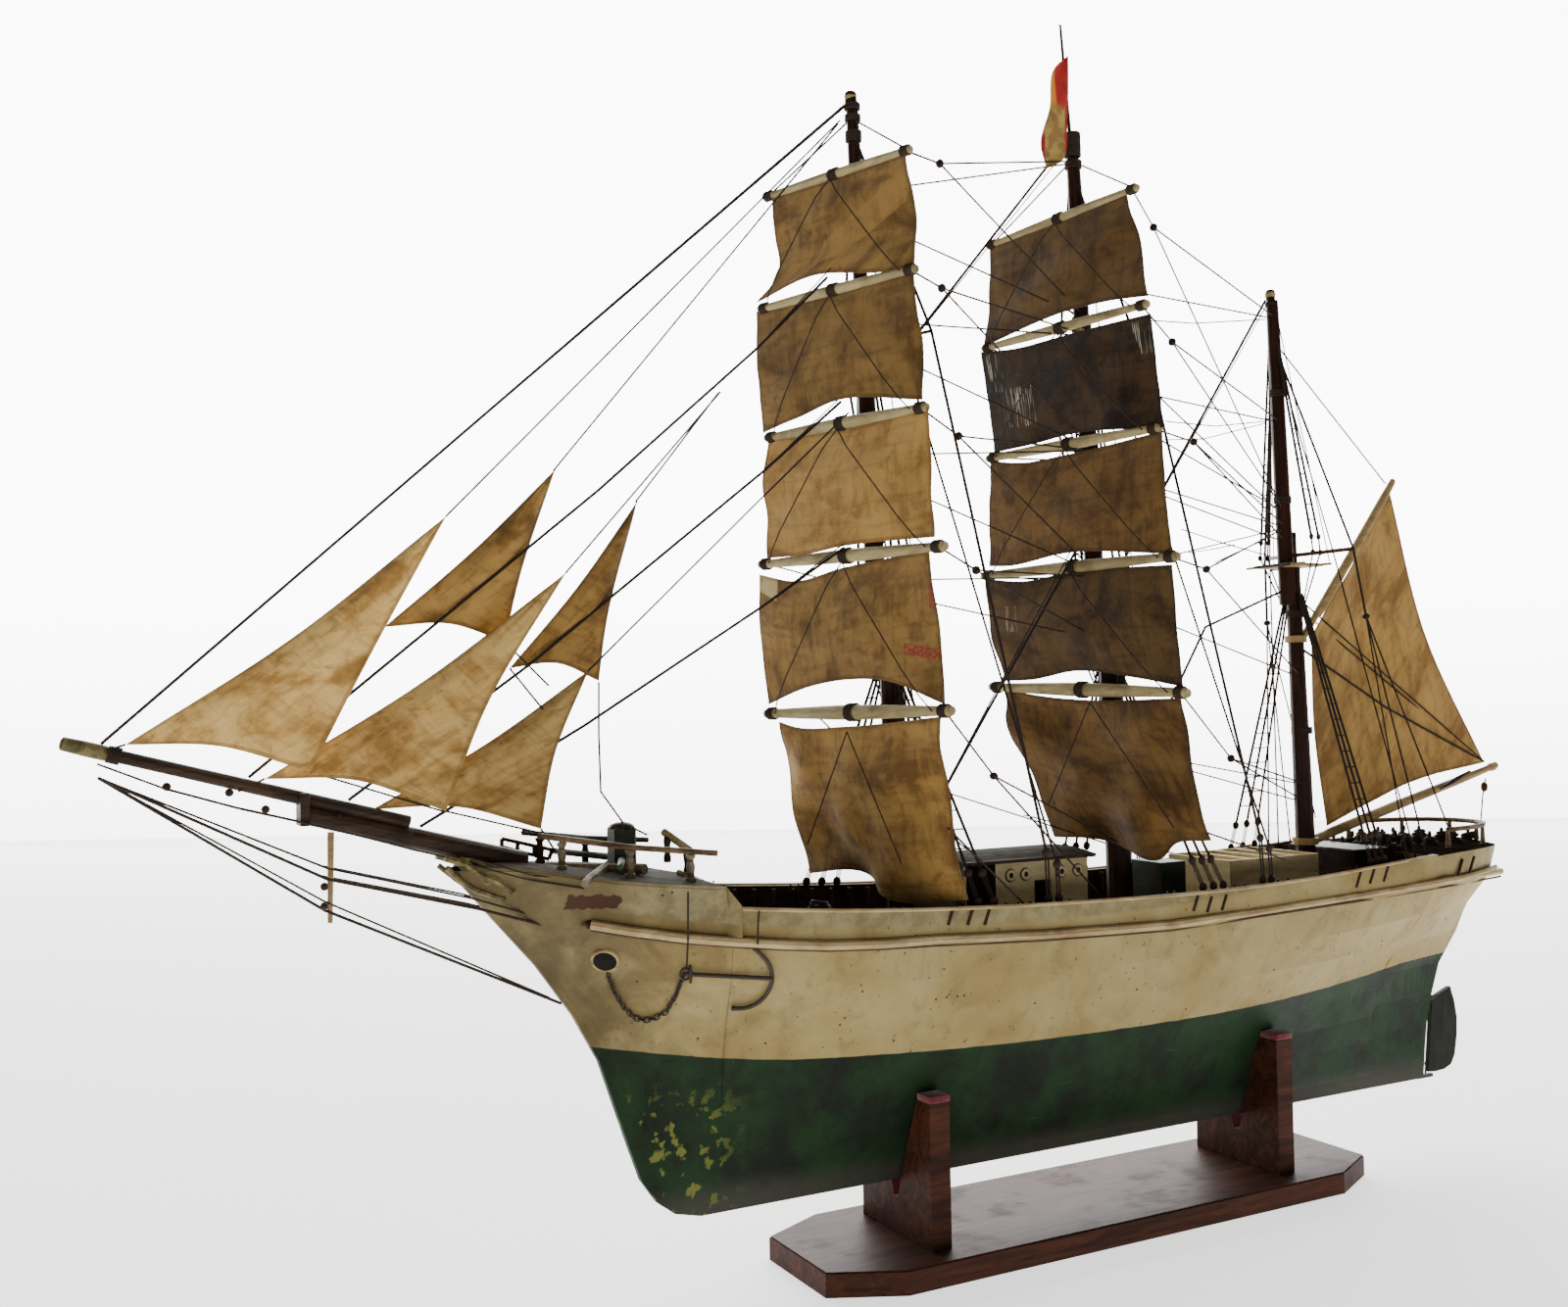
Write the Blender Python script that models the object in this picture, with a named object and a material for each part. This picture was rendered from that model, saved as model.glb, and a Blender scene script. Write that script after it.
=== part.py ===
"""Old hand-made model of a three-masted barque, set in its wooden cradle stand."""
import math

import bmesh
import bpy
import numpy as np
from mathutils import Matrix, Vector

# Frame: metres, +X aft, +Y starboard, +Z up, origin under the middle of the stand board
GAP = 0.0003

# Stand
BOARD_LENGTH = 0.731
BOARD_WIDTH = 0.186
BOARD_THICK = 0.024
BOARD_CORNER = (0.072, 0.035)
CRADLE_THICK = 0.0234
CRADLE_HALF = 0.0656
CRADLE_FORE = (-0.237, 0.174)
CRADLE_AFT = (0.2329, 0.181)
CRADLE_NOTCH_Z = 0.062
CRADLE_ARM = 0.027
CRADLE_CLEAR = 0.0016

# Hull form: profiles are (height, x), sheer lines are (x, height)
KEEL_Z = 0.080
KEEL_HALF = 0.004
STEM = ((0.078, -0.457), (0.082, -0.482), (0.093, -0.506), (0.110, -0.523), (0.146, -0.539),
        (0.185, -0.553), (0.227, -0.567), (0.254, -0.578), (0.280, -0.594), (0.306, -0.612),
        (0.347, -0.643), (0.381, -0.674), (0.410, -0.703), (0.427, -0.712))
STERN = ((0.080, 0.537), (0.170, 0.551), (0.180, 0.554), (0.196, 0.566), (0.218, 0.569),
         (0.241, 0.590), (0.263, 0.608),
         (0.290, 0.622), (0.316, 0.634), (0.335, 0.642), (0.380, 0.645))
WALE = ((-0.712, 0.391), (-0.60, 0.373), (-0.492, 0.357), (-0.384, 0.346), (-0.269, 0.338),
        (-0.143, 0.332), (-0.018, 0.328), (0.058, 0.3275), (0.229, 0.330), (0.368, 0.338),
        (0.475, 0.345), (0.570, 0.348), (0.650, 0.348))
RAIL = ((-0.50, 0.386), (-0.384, 0.376), (-0.255, 0.368), (-0.174, 0.3645), (-0.075, 0.362),
        (0.060, 0.360), (0.230, 0.364), (0.370, 0.373), (0.475, 0.3785), (0.570, 0.379),
        (0.650, 0.376))
FORECASTLE = ((-0.712, 0.427), (-0.650, 0.426), (-0.600, 0.4165), (-0.550, 0.4105), (-0.480, 0.404))
# Half-breadths amidships against the height as a share of keel to wale
MIDSHIP = ((0.0, 0.004), (0.04, 0.007), (0.15, 0.026), (0.28, 0.042), (0.40, 0.056), (0.52, 0.070),
           (0.64, 0.084), (0.76, 0.097), (0.88, 0.107), (1.0, 0.114), (1.3, 0.116))
# Share of height, then power, fullness and length of the bow, and the same of the stern
FORM = ((0.0, 1.7, 1.3, 0.52, 1.3, 1.5, 0.60), (0.4, 1.8, 1.15, 0.52, 1.5, 1.3, 0.55),
        (0.64, 2.5, 1.2, 0.50, 1.9, 1.15, 0.50), (0.82, 3.2, 1.05, 0.47, 2.6, 0.75, 0.45),
        (1.0, 4.0, 1.0, 0.45, 3.4, 0.5, 0.40), (1.3, 4.6, 0.9, 0.45, 3.6, 0.5, 0.40))
FAN_FORE = (-0.712, -0.42)
FAN_AFT = (0.50, 0.645)
BREAK_FORE = -0.4934
BREAK_AFT = 0.440
CAMBER = 0.003
DECK_DROP = 0.004
FORECASTLE_PLANK = 0.003

# Bulwarks
WALL = 0.0035
WALL_OUT = 0.001
CAP_LIP = 0.0013
BEAD = 0.0036
BEAD_BACK = 0.0005
BEAD_BACK_BOW = 0.0011
CAP = 0.0012

# Masts: lower mast and topmast as (x, z) on their axes, rake, heights, and radii at the foot, at the
# heel of the topmast, of the masthead above the platform, of the topmast's heel and of its top
MASTS = {
    "fore": dict(low=(-0.246, 0.568), top=(-0.281, 1.195), rake=-0.031, head=0.702, heel=0.612,
                 platform=0.6240, radii=(0.0115, 0.0088, 0.0082, 0.0066, 0.0052), truck=1.199),
    "main": dict(low=(0.0505, 0.383), top=(0.006, 1.199), rake=-0.0331, head=0.699, heel=0.610,
                 platform=0.6220, radii=(0.0125, 0.0095, 0.0088, 0.0070, 0.0052), truck=1.199),
    "mizzen": dict(low=(0.345, 0.390), top=(0.309, 1.058), rake=-0.0307, head=0.765, heel=0.680,
                   platform=0.7220, radii=(0.0120, 0.0088, 0.0062, 0.0062, 0.0045), truck=1.060),
}
PLATFORM_THICK = 0.0035
ARM_REACH = 0.046
ARM_RADIUS = 0.0016
ARM_BACK = 0.0150
STAFF_TOP = 1.325
STAFF_RADIUS = 0.0022

# Yards, from the top: centre x, height, half length, brace and tilt in degrees
YARDS = {
    "fore": (("royal", -0.302, 1.110, 0.1035, -17.0, 0.8), ("topgallant", -0.3046, 0.990, 0.112, -16.0, 1.0),
             ("upper_topsail", -0.2976, 0.853, 0.120, -13.0, 0.8),
             ("lower_topsail", -0.2946, 0.717, 0.140, -12.0, 0.8),
             ("course", -0.2904, 0.557, 0.141, -11.5, -0.4)),
    "main": (("royal", -0.0127, 1.104, 0.118, -6.0, -0.6), ("topgallant", -0.013, 0.981, 0.127, -7.0, 0.6),
             ("upper_topsail", -0.0048, 0.851, 0.130, -8.0, 0.6),
             ("lower_topsail", -0.0014, 0.714, 0.146, -8.0, 0.2),
             ("course", 0.0073, 0.577, 0.149, -7.0, 2.2)),
}
YARD_RADII = (0.0042, 0.0048, 0.0052, 0.0056, 0.0060)

# Bowsprit and jibboom, as (x, z)
BOWSPRIT = ((-0.640, 0.4265), (-0.835, 0.4800))
BOWSPRIT_RADII = (0.0100, 0.0085)
JIBBOOM = ((-0.745, 0.4680), (-1.021, 0.5450))
JIBBOOM_RADII = (0.0062, 0.0052)

# Headsails as (x, z) of tack, head and clew, then y of luff and clew; then the halyard's height on the
# mast and its y there, and the end of the tack line: an x on the jibboom, or a point on the deck
HEADSAILS = {
    "flying_jib": ((-0.974, 0.551), (-0.710, 0.739), (-0.828, 0.519), 0.0, -0.018, 1.1815, -0.0035, -0.9735),
    "jib_topsail_outer": ((-0.765, 0.640), (-0.607, 0.787), (-0.657, 0.627), 0.004, 0.012,
                          1.1815, 0.0035, -0.893),
    "outer_jib": ((-0.866, 0.517), (-0.598, 0.691), (-0.712, 0.480), 0.0, -0.018, 1.0385, -0.0035, -0.8645),
    "jib_topsail_inner": ((-0.652, 0.603), (-0.525, 0.761), (-0.566, 0.591), 0.004, 0.012,
                          1.0385, 0.0035, (-0.5000, 0.004)),
    "inner_jib": ((-0.777, 0.487), (-0.577, 0.600), (-0.624, 0.459), 0.0, -0.012, 0.8800, 0.0, -0.7768),
}
CLOTH = 0.0014
SAIL_GAP = 0.0004
FOOT_ARCH = 0.022
BELLY = 0.010
HALYARD = 0.0005
EYE = 0.0016

# Main stays, each as its height on the topmast and its further points as (x, z)
STAYS = {
    "fore": ((1.1835, ((-0.9919, 0.5436),)),
             (1.0385, ((-0.3949, 0.9205), (-0.5639, 0.7707), (-0.8790, 0.5127))),
             (0.8978, ((-0.3892, 0.7984), (-0.6336, 0.6064), (-0.7970, 0.4900))),
             (0.7455, ((-0.3942, 0.6626), (-0.5801, 0.5501), (-0.7350, 0.4640)))),
    "main": ((1.1835, ((-0.2636, 0.8859),)), (0.7577, ((-0.2289, 0.4040),))),
    "mizzen": ((1.0425, ((0.0512, 0.6963),)),),
}
STAY = 0.0007
STAY_RING = 0.0024
STAY_CLEAR = 0.0004

# Spanker, as (x, z)
BOOM = ((0.3690, 0.3900), (0.6980, 0.4700))
GAFF = ((0.3530, 0.6350), (0.5160, 0.8390))
SPAR_RADII = (0.0056, 0.0044)
JAW_CLEAR = 0.0006
SPANKER_FOOT = ((0.375, 0.412), (0.664, 0.480))
SPANKER_HEAD = (0.07, 0.93)

# Rudder, as (x, z), with its hinge line
RUDDER = ((0.5480, 0.0860), (0.5620, 0.0848), (0.5780, 0.0858), (0.5910, 0.0905), (0.5985, 0.1020),
          (0.6035, 0.1270), (0.6045, 0.1490), (0.6005, 0.1700), (0.5935, 0.1895), (0.5690, 0.1815),
          (0.5590, 0.1745))
RUDDER_HALF = 0.0028
HINGE = ((0.5455, 0.0810), (0.5570, 0.1780))
HEEL_SHOE = ((0.528, -0.003, 0.0792), (0.5565, 0.003, 0.0832))
GUDGEON = ((0.545, -0.002, 0.1786), (0.5615, 0.002, 0.1816))

# Anchors and their chains, as (x, z) on the hull's side
HAWSE = (-0.5767, 0.3372)
HAWSE_RADIUS = 0.0065
ANCHOR_RING = (-0.511, 0.3270)
ANCHOR_CROWN = (-0.4352, 0.3170)
ANCHOR_ARMS = ((-0.4683, 0.3530), (-0.4568, 0.3472), (-0.4440, 0.3351), (-0.4352, 0.3170),
               (-0.4360, 0.3055), (-0.4430, 0.2940), (-0.4620, 0.2890))
ANCHOR_OUT = 0.0095
ANCHOR_FLARE = 0.3
CHAIN_SAG = 0.047
LINK = 0.0084
LINK_WIDTH = 0.62
LINK_WIRE = 0.30
CHAIN_SEAT = 0.0043
HANGER = 0.0008

WOOD_DARK = ((0.055, 0.022, 0.012), 0.45, 0.0)
WOOD_RED = ((0.13, 0.045, 0.022), 0.40, 0.0)
WOOD_GREY = ((0.33, 0.30, 0.22), 0.65, 0.0)
CREAM = ((0.66, 0.58, 0.40), 0.50, 0.0)
GREEN = ((0.03, 0.09, 0.05), 0.50, 0.0)
DECK_GREY = ((0.30, 0.28, 0.24), 0.70, 0.0)
IRON = ((0.03, 0.028, 0.026), 0.55, 0.6)
LINEN = ((0.38, 0.24, 0.11), 0.90, 0.0)
ROPE = ((0.05, 0.03, 0.02), 0.80, 0.0)


def new_collection(name):
    made = bpy.data.collections.new(name)
    bpy.context.scene.collection.children.link(made)
    return made


def start_scene():
    """Empty the scene and make the collections for the ship and for its cutters."""
    for obj in list(bpy.data.objects):
        bpy.data.objects.remove(obj)
    return new_collection("barque_model"), new_collection("cutters")


SHIP, CUTTERS = start_scene()


def paint(obj, finish):
    colour, roughness, metallic = finish
    made = bpy.data.materials.new(obj.name)
    made.use_nodes = True
    shader = made.node_tree.nodes["Principled BSDF"]
    shader.inputs["Base Color"].default_value = (*colour, 1.0)
    shader.inputs["Roughness"].default_value = roughness
    shader.inputs["Metallic"].default_value = metallic
    obj.data.materials.append(made)


def as_object(name, bm, finish=None):
    """Link a mesh as a named piece of the ship, or as a cutter when it has no finish."""
    bmesh.ops.recalc_face_normals(bm, faces=bm.faces)
    mesh = bpy.data.meshes.new(name)
    bm.to_mesh(mesh)
    bm.free()
    obj = bpy.data.objects.new(name, mesh)
    if finish is None:
        CUTTERS.objects.link(obj)
        obj.hide_render = True
        obj.display_type = "WIRE"
    else:
        SHIP.objects.link(obj)
        paint(obj, finish)
    return obj


def boolean(obj, tool, operation, crossing=False):
    """Cut or join; crossing is set where the tool's own shapes run into each other."""
    made = obj.modifiers.new(tool.name, "BOOLEAN")
    made.operation = operation
    made.solver = "EXACT"
    made.use_self = crossing
    made.object = tool


def fused(name, shapes, finish):
    """One body from shapes that run into each other: the first one, joined by all the rest."""
    obj = as_object(name, shapes[0], finish)
    if len(shapes) > 1:
        rest = bmesh.new()
        for shape in shapes[1:]:
            bmesh.ops.recalc_face_normals(shape, faces=shape.faces)
            carried = bpy.data.meshes.new("carried")
            shape.to_mesh(carried)
            shape.free()
            rest.from_mesh(carried)
            bpy.data.meshes.remove(carried)
        boolean(obj, as_object(name + "_rest", rest), "UNION", crossing=len(shapes) > 2)
    return obj


def hermite(table, at):
    """Read a smooth curve through a table of (position, value)."""
    xs = np.array([row[0] for row in table])
    ys = np.array([row[1] for row in table])
    slopes = np.gradient(ys, xs)
    i = int(np.clip(np.searchsorted(xs, at) - 1, 0, len(xs) - 2))
    step = xs[i + 1] - xs[i]
    t = float(np.clip((at - xs[i]) / step, 0.0, 1.0))
    start = (1 + 2 * t) * (1 - t) ** 2 * ys[i] + t * (1 - t) ** 2 * step * slopes[i]
    return float(start + t * t * (3 - 2 * t) * ys[i + 1] + t * t * (t - 1) * step * slopes[i + 1])


def hull_half(x, z):
    """Half-breadth of the hull's skin at a place on its side."""
    share = (z - KEEL_Z) / (hermite(WALE, x) - KEEL_Z)
    shares = [row[0] for row in FORM]
    entry_p, entry_q, entry_l, run_p, run_q, run_l = (
        np.interp(share, shares, [row[k] for row in FORM]) for k in range(1, 7))
    fore = np.clip((x - hermite(STEM, z)) / entry_l, 0.0, 1.0)
    aft = np.clip((hermite(STERN, z) - x) / run_l, 0.0, 1.0)
    fullness = (1 - (1 - fore) ** entry_p) ** entry_q * (1 - (1 - aft) ** run_p) ** run_q
    return KEEL_HALF + (hermite(MIDSHIP, share) - KEEL_HALF) * float(fullness)


def side_point(x, z, side, out=0.0):
    """A point on the hull's skin, moved outwards; side is -1 for port and 1 for starboard."""
    ahead = hull_half(x - 0.004, z)
    behind = hull_half(x + 0.004, z)
    along = Vector((0.008, behind - ahead, 0.0)).normalized()
    return Vector((x - along.y * out, side * (hull_half(x, z) + along.x * out), z))


def deck_z(x):
    """Height of the waist deck on the middle line."""
    return hermite(WALE, x) - DECK_DROP + CAMBER


def fan_x(nominal, z):
    """Place of a hull station, which follows the stem and the stern profile at the ends."""
    if nominal < FAN_FORE[1]:
        stem = hermite(STEM, z)
        t = (nominal - FAN_FORE[0]) / (FAN_FORE[1] - FAN_FORE[0])
        return stem + t * (FAN_FORE[1] - stem)
    if nominal > FAN_AFT[0]:
        t = (nominal - FAN_AFT[0]) / (FAN_AFT[1] - FAN_AFT[0])
        return FAN_AFT[0] + t * (hermite(STERN, z) - FAN_AFT[0])
    return nominal


def hull_stations():
    """Nominal x of each hull station with the kind of deck over it."""
    bow = [FAN_FORE[0] + (BREAK_FORE - FAN_FORE[0]) * (i / 9) ** 1.5 for i in range(10)]
    waist = list(np.linspace(BREAK_FORE + 0.0006, BREAK_AFT, 19))
    stern = [FAN_AFT[1] - (FAN_AFT[1] - BREAK_AFT) * (1 - i / 10) ** 1.5 for i in range(11)]
    stern[0] += 0.0006
    return [(x, "forecastle") for x in bow] + [(x, "waist") for x in waist] + [(x, "poop") for x in stern]


def hull_top(x, kind):
    if kind == "forecastle":
        return hermite(FORECASTLE, x) - FORECASTLE_PLANK
    if kind == "poop":
        return hermite(RAIL, x) - 2 * CAP - GAP
    return hermite(WALE, x) - DECK_DROP


def loft(rings, paired=False):
    """Skin closed rings of equally many points; paired ends join each point to its mirror image."""
    bm = bmesh.new()
    rows = [[bm.verts.new(p) for p in ring] for ring in rings]
    for a, b in zip(rows, rows[1:]):
        for i in range(len(a)):
            j = (i + 1) % len(a)
            bm.faces.new((a[i], a[j], b[j], b[i]))
    for end in (rows[0], rows[-1]):
        if paired:
            last = len(end) - 1
            for i in range(last // 2 - 1):
                bm.faces.new((end[i], end[i + 1], end[last - 1 - i], end[last - i]))
            bm.faces.new(end[last // 2 - 1:last // 2 + 2])
        else:
            bm.faces.new(end)
    return bm


def flat_faced(bm):
    """Split every face into triangles, so that what is cut later stays on the same surface."""
    bmesh.ops.triangulate(bm, faces=bm.faces[:], quad_method="FIXED")
    return bm


def hull_ring(nominal, kind):
    levels = (0.0, 0.02, 0.06, 0.13, 0.23, 0.35, 0.48, 0.61, 0.74, 0.87, 1.0)
    side = []
    for level in levels:
        top = hull_top(nominal, kind)
        z = KEEL_Z + level * (top - KEEL_Z)
        x = fan_x(nominal, z)
        z = KEEL_Z + level * (hull_top(x, kind) - KEEL_Z)
        x = fan_x(nominal, z)
        side.append(Vector((x, hull_half(x, z), z)))
    crown = side[-1] + Vector((0, -side[-1].y, CAMBER))
    port = [Vector((p.x, -p.y, p.z)) for p in reversed(side)]
    return side + [crown] + port


def make_hull():
    rings = [hull_ring(x, kind) for x, kind in hull_stations()]
    obj = as_object("hull", flat_faced(loft(rings, paired=True)), CREAM)
    boolean(obj, as_object("bowsprit_bed", spar_shape(*BOWSPRIT, 0.0104, 0.0104, steps=16)), "DIFFERENCE")
    for side in (-1, 1):
        hole = rod_shape(side_point(*HAWSE, side, 0.010), side_point(*HAWSE, side, -0.014),
                         HAWSE_RADIUS, HAWSE_RADIUS, 14)
        boolean(obj, as_object("hawse_hole", hole), "DIFFERENCE")
    for name, (low, high) in (("heel_shoe", HEEL_SHOE), ("gudgeon", GUDGEON)):
        boolean(obj, as_object(name, box_shape(low, high)), "UNION")
    return obj


def rod_shape(a, b, radius_a, radius_b, steps=8):
    """A round closed bar from a to b."""
    a, b = Vector(a), Vector(b)
    bm = bmesh.new()
    turn = (b - a).to_track_quat("Z", "Y").to_matrix().to_4x4()
    place = Matrix.Translation((a + b) / 2) @ turn
    bmesh.ops.create_cone(bm, cap_ends=True, segments=steps, radius1=radius_a, radius2=radius_b,
                          depth=(b - a).length, matrix=place)
    return bm


def spar_shape(a, b, radius_a, radius_b, steps=10):
    return rod_shape((a[0], 0, a[1]), (b[0], 0, b[1]), radius_a, radius_b, steps)


def box_shape(low, high, bevel=0.0):
    low, high = Vector(low), Vector(high)
    bm = bmesh.new()
    bmesh.ops.create_cube(bm, size=1.0, matrix=Matrix.Translation((low + high) / 2)
                          @ Matrix.Diagonal((*(high - low), 1.0)))
    if bevel:
        bmesh.ops.bevel(bm, geom=bm.edges[:], offset=bevel, segments=1, affect="EDGES")
    return bm


def tube_shape(points, radius, resolution=1):
    """A round bar along a run of points, made from a curve with filled caps."""
    curve = bpy.data.curves.new("run", "CURVE")
    curve.dimensions = "3D"
    curve.bevel_depth = radius
    curve.bevel_resolution = resolution
    curve.use_fill_caps = True
    spline = curve.splines.new("POLY")
    spline.points.add(len(points) - 1)
    for point, place in zip(spline.points, points):
        point.co = (*place, 1.0)
    holder = bpy.data.objects.new("run", curve)
    CUTTERS.objects.link(holder)
    depsgraph = bpy.context.evaluated_depsgraph_get()
    mesh = bpy.data.meshes.new_from_object(holder.evaluated_get(depsgraph))
    bm = bmesh.new()
    bm.from_mesh(mesh)
    bmesh.ops.remove_doubles(bm, verts=bm.verts, dist=1e-5)
    bpy.data.objects.remove(holder)
    bpy.data.meshes.remove(mesh)
    return bm


def plate_shape(outline, low, high, axis="Y"):
    """A flat board: an outline of (x, z), or of (x, y) or (y, z), between two levels."""
    def place(u, v, level):
        if axis == "Y":
            return (u, level, v)
        if axis == "X":
            return (level, u, v)
        return (u, v, level)
    return loft([[place(u, v, low) for u, v in outline], [place(u, v, high) for u, v in outline]])


def make_stand():
    half_l, half_w = BOARD_LENGTH / 2, BOARD_WIDTH / 2
    cut_l, cut_w = BOARD_CORNER
    outline = []
    for sx, sy in ((1, 1), (-1, 1), (-1, -1), (1, -1)):
        corner = [(sx * half_l, sy * (half_w - cut_w)), (sx * (half_l - cut_l), sy * half_w)]
        outline += corner if sx == sy else corner[::-1]
    board = plate_shape(outline, 0.0, BOARD_THICK, "Z")
    edges = [e for e in board.edges if min(v.co.z for v in e.verts) > BOARD_THICK / 2]
    bmesh.ops.bevel(board, geom=edges, offset=0.0015, segments=2, affect="EDGES")
    as_object("stand_board", board, WOOD_DARK)
    for name, (x, top) in (("stand_cradle_fore", CRADLE_FORE), ("stand_cradle_aft", CRADLE_AFT)):
        make_cradle(name, x, top)


def make_cradle(name, x, top):
    """A board across the stand, with a notch that follows the hull."""
    faces = (x - CRADLE_THICK / 2, x + CRADLE_THICK / 2)
    heights = np.linspace(CRADLE_NOTCH_Z, top, 12)
    right = []
    for z in heights:
        line = 0.004 + (CRADLE_HALF - CRADLE_ARM - 0.004) * (z - CRADLE_NOTCH_Z) / (top - CRADLE_NOTCH_Z)
        skin = max(hull_half(face, z) for face in faces) + CRADLE_CLEAR if z > KEEL_Z - 0.004 else 0.0
        right.append((max(line, skin), z))
    outline = [(CRADLE_HALF, BOARD_THICK + GAP), (CRADLE_HALF, top)] + right[::-1]
    outline += [(-y, z) for y, z in right] + [(-CRADLE_HALF, top), (-CRADLE_HALF, BOARD_THICK + GAP)]
    as_object(name, plate_shape(outline, *faces, axis="X"), WOOD_DARK)


def wall_ring(x, side):
    """Section of a bulwark plank with its cap rail."""
    low = hull_top(x, "waist") + GAP
    high = hermite(RAIL, x)
    outer, inner = WALL_OUT + CAP_LIP, -WALL - CAP_LIP
    profile = ((WALL_OUT, low), (WALL_OUT, high - CAP), (outer, high - CAP), (outer, high),
               (inner, high), (inner, high - CAP), (-WALL, high - CAP), (-WALL, low))
    return [side_point(x, z, side, out) for out, z in profile]


def bead_ring(x, side):
    """Section of the half-round wale that runs along the side."""
    z = hermite(WALE, x)
    back = BEAD_BACK if x > -0.46 else BEAD_BACK_BOW
    ring = [side_point(x, z - BEAD * 0.8, side, back), side_point(x, z + BEAD * 0.8, side, back)]
    for angle in (45, 0, -45):
        a = math.radians(angle)
        ring.append(side_point(x, z, side, back + BEAD * math.cos(a)) + Vector((0, 0, BEAD * math.sin(a))))
    return ring


def make_bulwarks():
    for name, side in (("bulwark_port", -1), ("bulwark_starboard", 1)):
        wall = loft([wall_ring(x, side) for x in np.linspace(-0.474, BREAK_AFT - 0.001, 19)])
        bead = loft([bead_ring(x, side) for x in np.linspace(-0.605, 0.600, 29)])
        fused(name, [wall, bead], CREAM)


def make_forecastle():
    """The grey deck over the bow, its rails, and the bitts with the catheads."""
    rings = []
    for nominal, kind in hull_stations():
        if kind == "forecastle" and nominal > FAN_FORE[0]:
            side = hull_ring(nominal, kind)
            edge = side[len(side) // 2 - 1]
            half, low, high = edge.y, edge.z + GAP, edge.z + FORECASTLE_PLANK
            rings.append([(edge.x, -half, low), (edge.x, -half, high), (edge.x, 0, high + CAMBER),
                          (edge.x, half, high), (edge.x, half, low), (edge.x, 0, low + CAMBER)])
    deck = as_object("forecastle_deck", flat_faced(loft(rings)), DECK_GREY)
    boolean(deck, as_object("bowsprit_slot", spar_shape(*BOWSPRIT, 0.0104, 0.0104, steps=16)), "DIFFERENCE")
    for name, side in (("forecastle_rail_port", -1), ("forecastle_rail_starboard", 1)):
        make_forecastle_rail(name, side)
    post_z = forecastle_top(-0.556, 0.0) + GAP
    box = box_shape((-0.556, -0.011, post_z + GAP), (-0.534, 0.011, post_z + 0.040), 0.002)
    beams = [rod_shape((-0.545, 0.0, post_z + 0.010), (-0.582, s * 0.088, post_z + 0.012), 0.0035, 0.003, 6)
             for s in (-1, 1)]
    fused("forecastle_bitts", [box] + beams, GREEN)


def forecastle_top(x, y):
    """Height of the forecastle deck at a place."""
    half = hull_half(x, hermite(FORECASTLE, x))
    return hermite(FORECASTLE, x) + CAMBER * (1 - min(1.0, abs(y) / half))


def make_forecastle_rail(name, side):
    """A round rail on turned posts along the edge of the forecastle."""
    posts = ((-0.615, 0.030), (-0.560, 0.057), (-0.508, 0.074))
    shapes = []
    tops = []
    for x, y in posts:
        foot = Vector((x, side * y, forecastle_top(x - 0.004, y - 0.004) + 2 * GAP))
        top = foot + Vector((0, 0, 0.026))
        tops.append(top)
        shapes.append(rod_shape(foot, top, 0.0038, 0.0026, 8))
    ends = [tops[0] + (tops[0] - tops[1]) * 0.35, tops[-1] + (tops[-1] - tops[-2]) * 0.45]
    shapes.append(tube_shape([ends[0]] + tops + [ends[1]], 0.0030, 1))
    fused(name, shapes, CREAM if side < 0 else WOOD_DARK)


def make_deckhouse():
    """The hollow house between the fore and main masts, and its cambered roof."""
    x0, x1, half, wall = -0.190, -0.030, 0.047, 0.003
    floor, top = max(deck_z(x0), deck_z(x1)) + 2 * GAP, 0.3985
    house = as_object("deckhouse", box_shape((x0, -half, floor), (x1, half, top)), CREAM)
    boolean(house, as_object("house_room", box_shape((x0 + 0.040, -half + wall, floor + wall),
                                                     (x1 - wall, half - wall, top + 0.01))), "DIFFERENCE")
    boolean(house, as_object("house_porch", box_shape((x0 + wall, -half - 0.01, floor + wall),
                                                      (x0 + 0.037, half + 0.01, top + 0.01))), "DIFFERENCE")
    boolean(house, as_object("house_door", box_shape((-0.099, -half - 0.01, floor + wall),
                                                     (-0.080, 0.0, top - 0.021))), "DIFFERENCE")
    for x in (-0.138, -0.120, -0.068, -0.048):
        port = rod_shape((x, -half - 0.01, top - 0.010), (x, half + 0.01, top - 0.010), 0.0034, 0.0034, 10)
        boolean(house, as_object("house_port", port), "DIFFERENCE")
    rings = []
    for x in (x0 - 0.004, x1 + 0.006):
        across = [-1, -0.6, -0.2, 0.2, 0.6, 1]
        upper = [(x, y * (half + 0.006), top + GAP + 0.003 + 0.005 * (1 - y * y)) for y in across]
        lower = [(x, half + 0.006, top + GAP), (x, -half - 0.006, top + GAP)]
        rings.append(upper + lower)
    as_object("deckhouse_roof", loft(rings), DECK_GREY)


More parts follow.
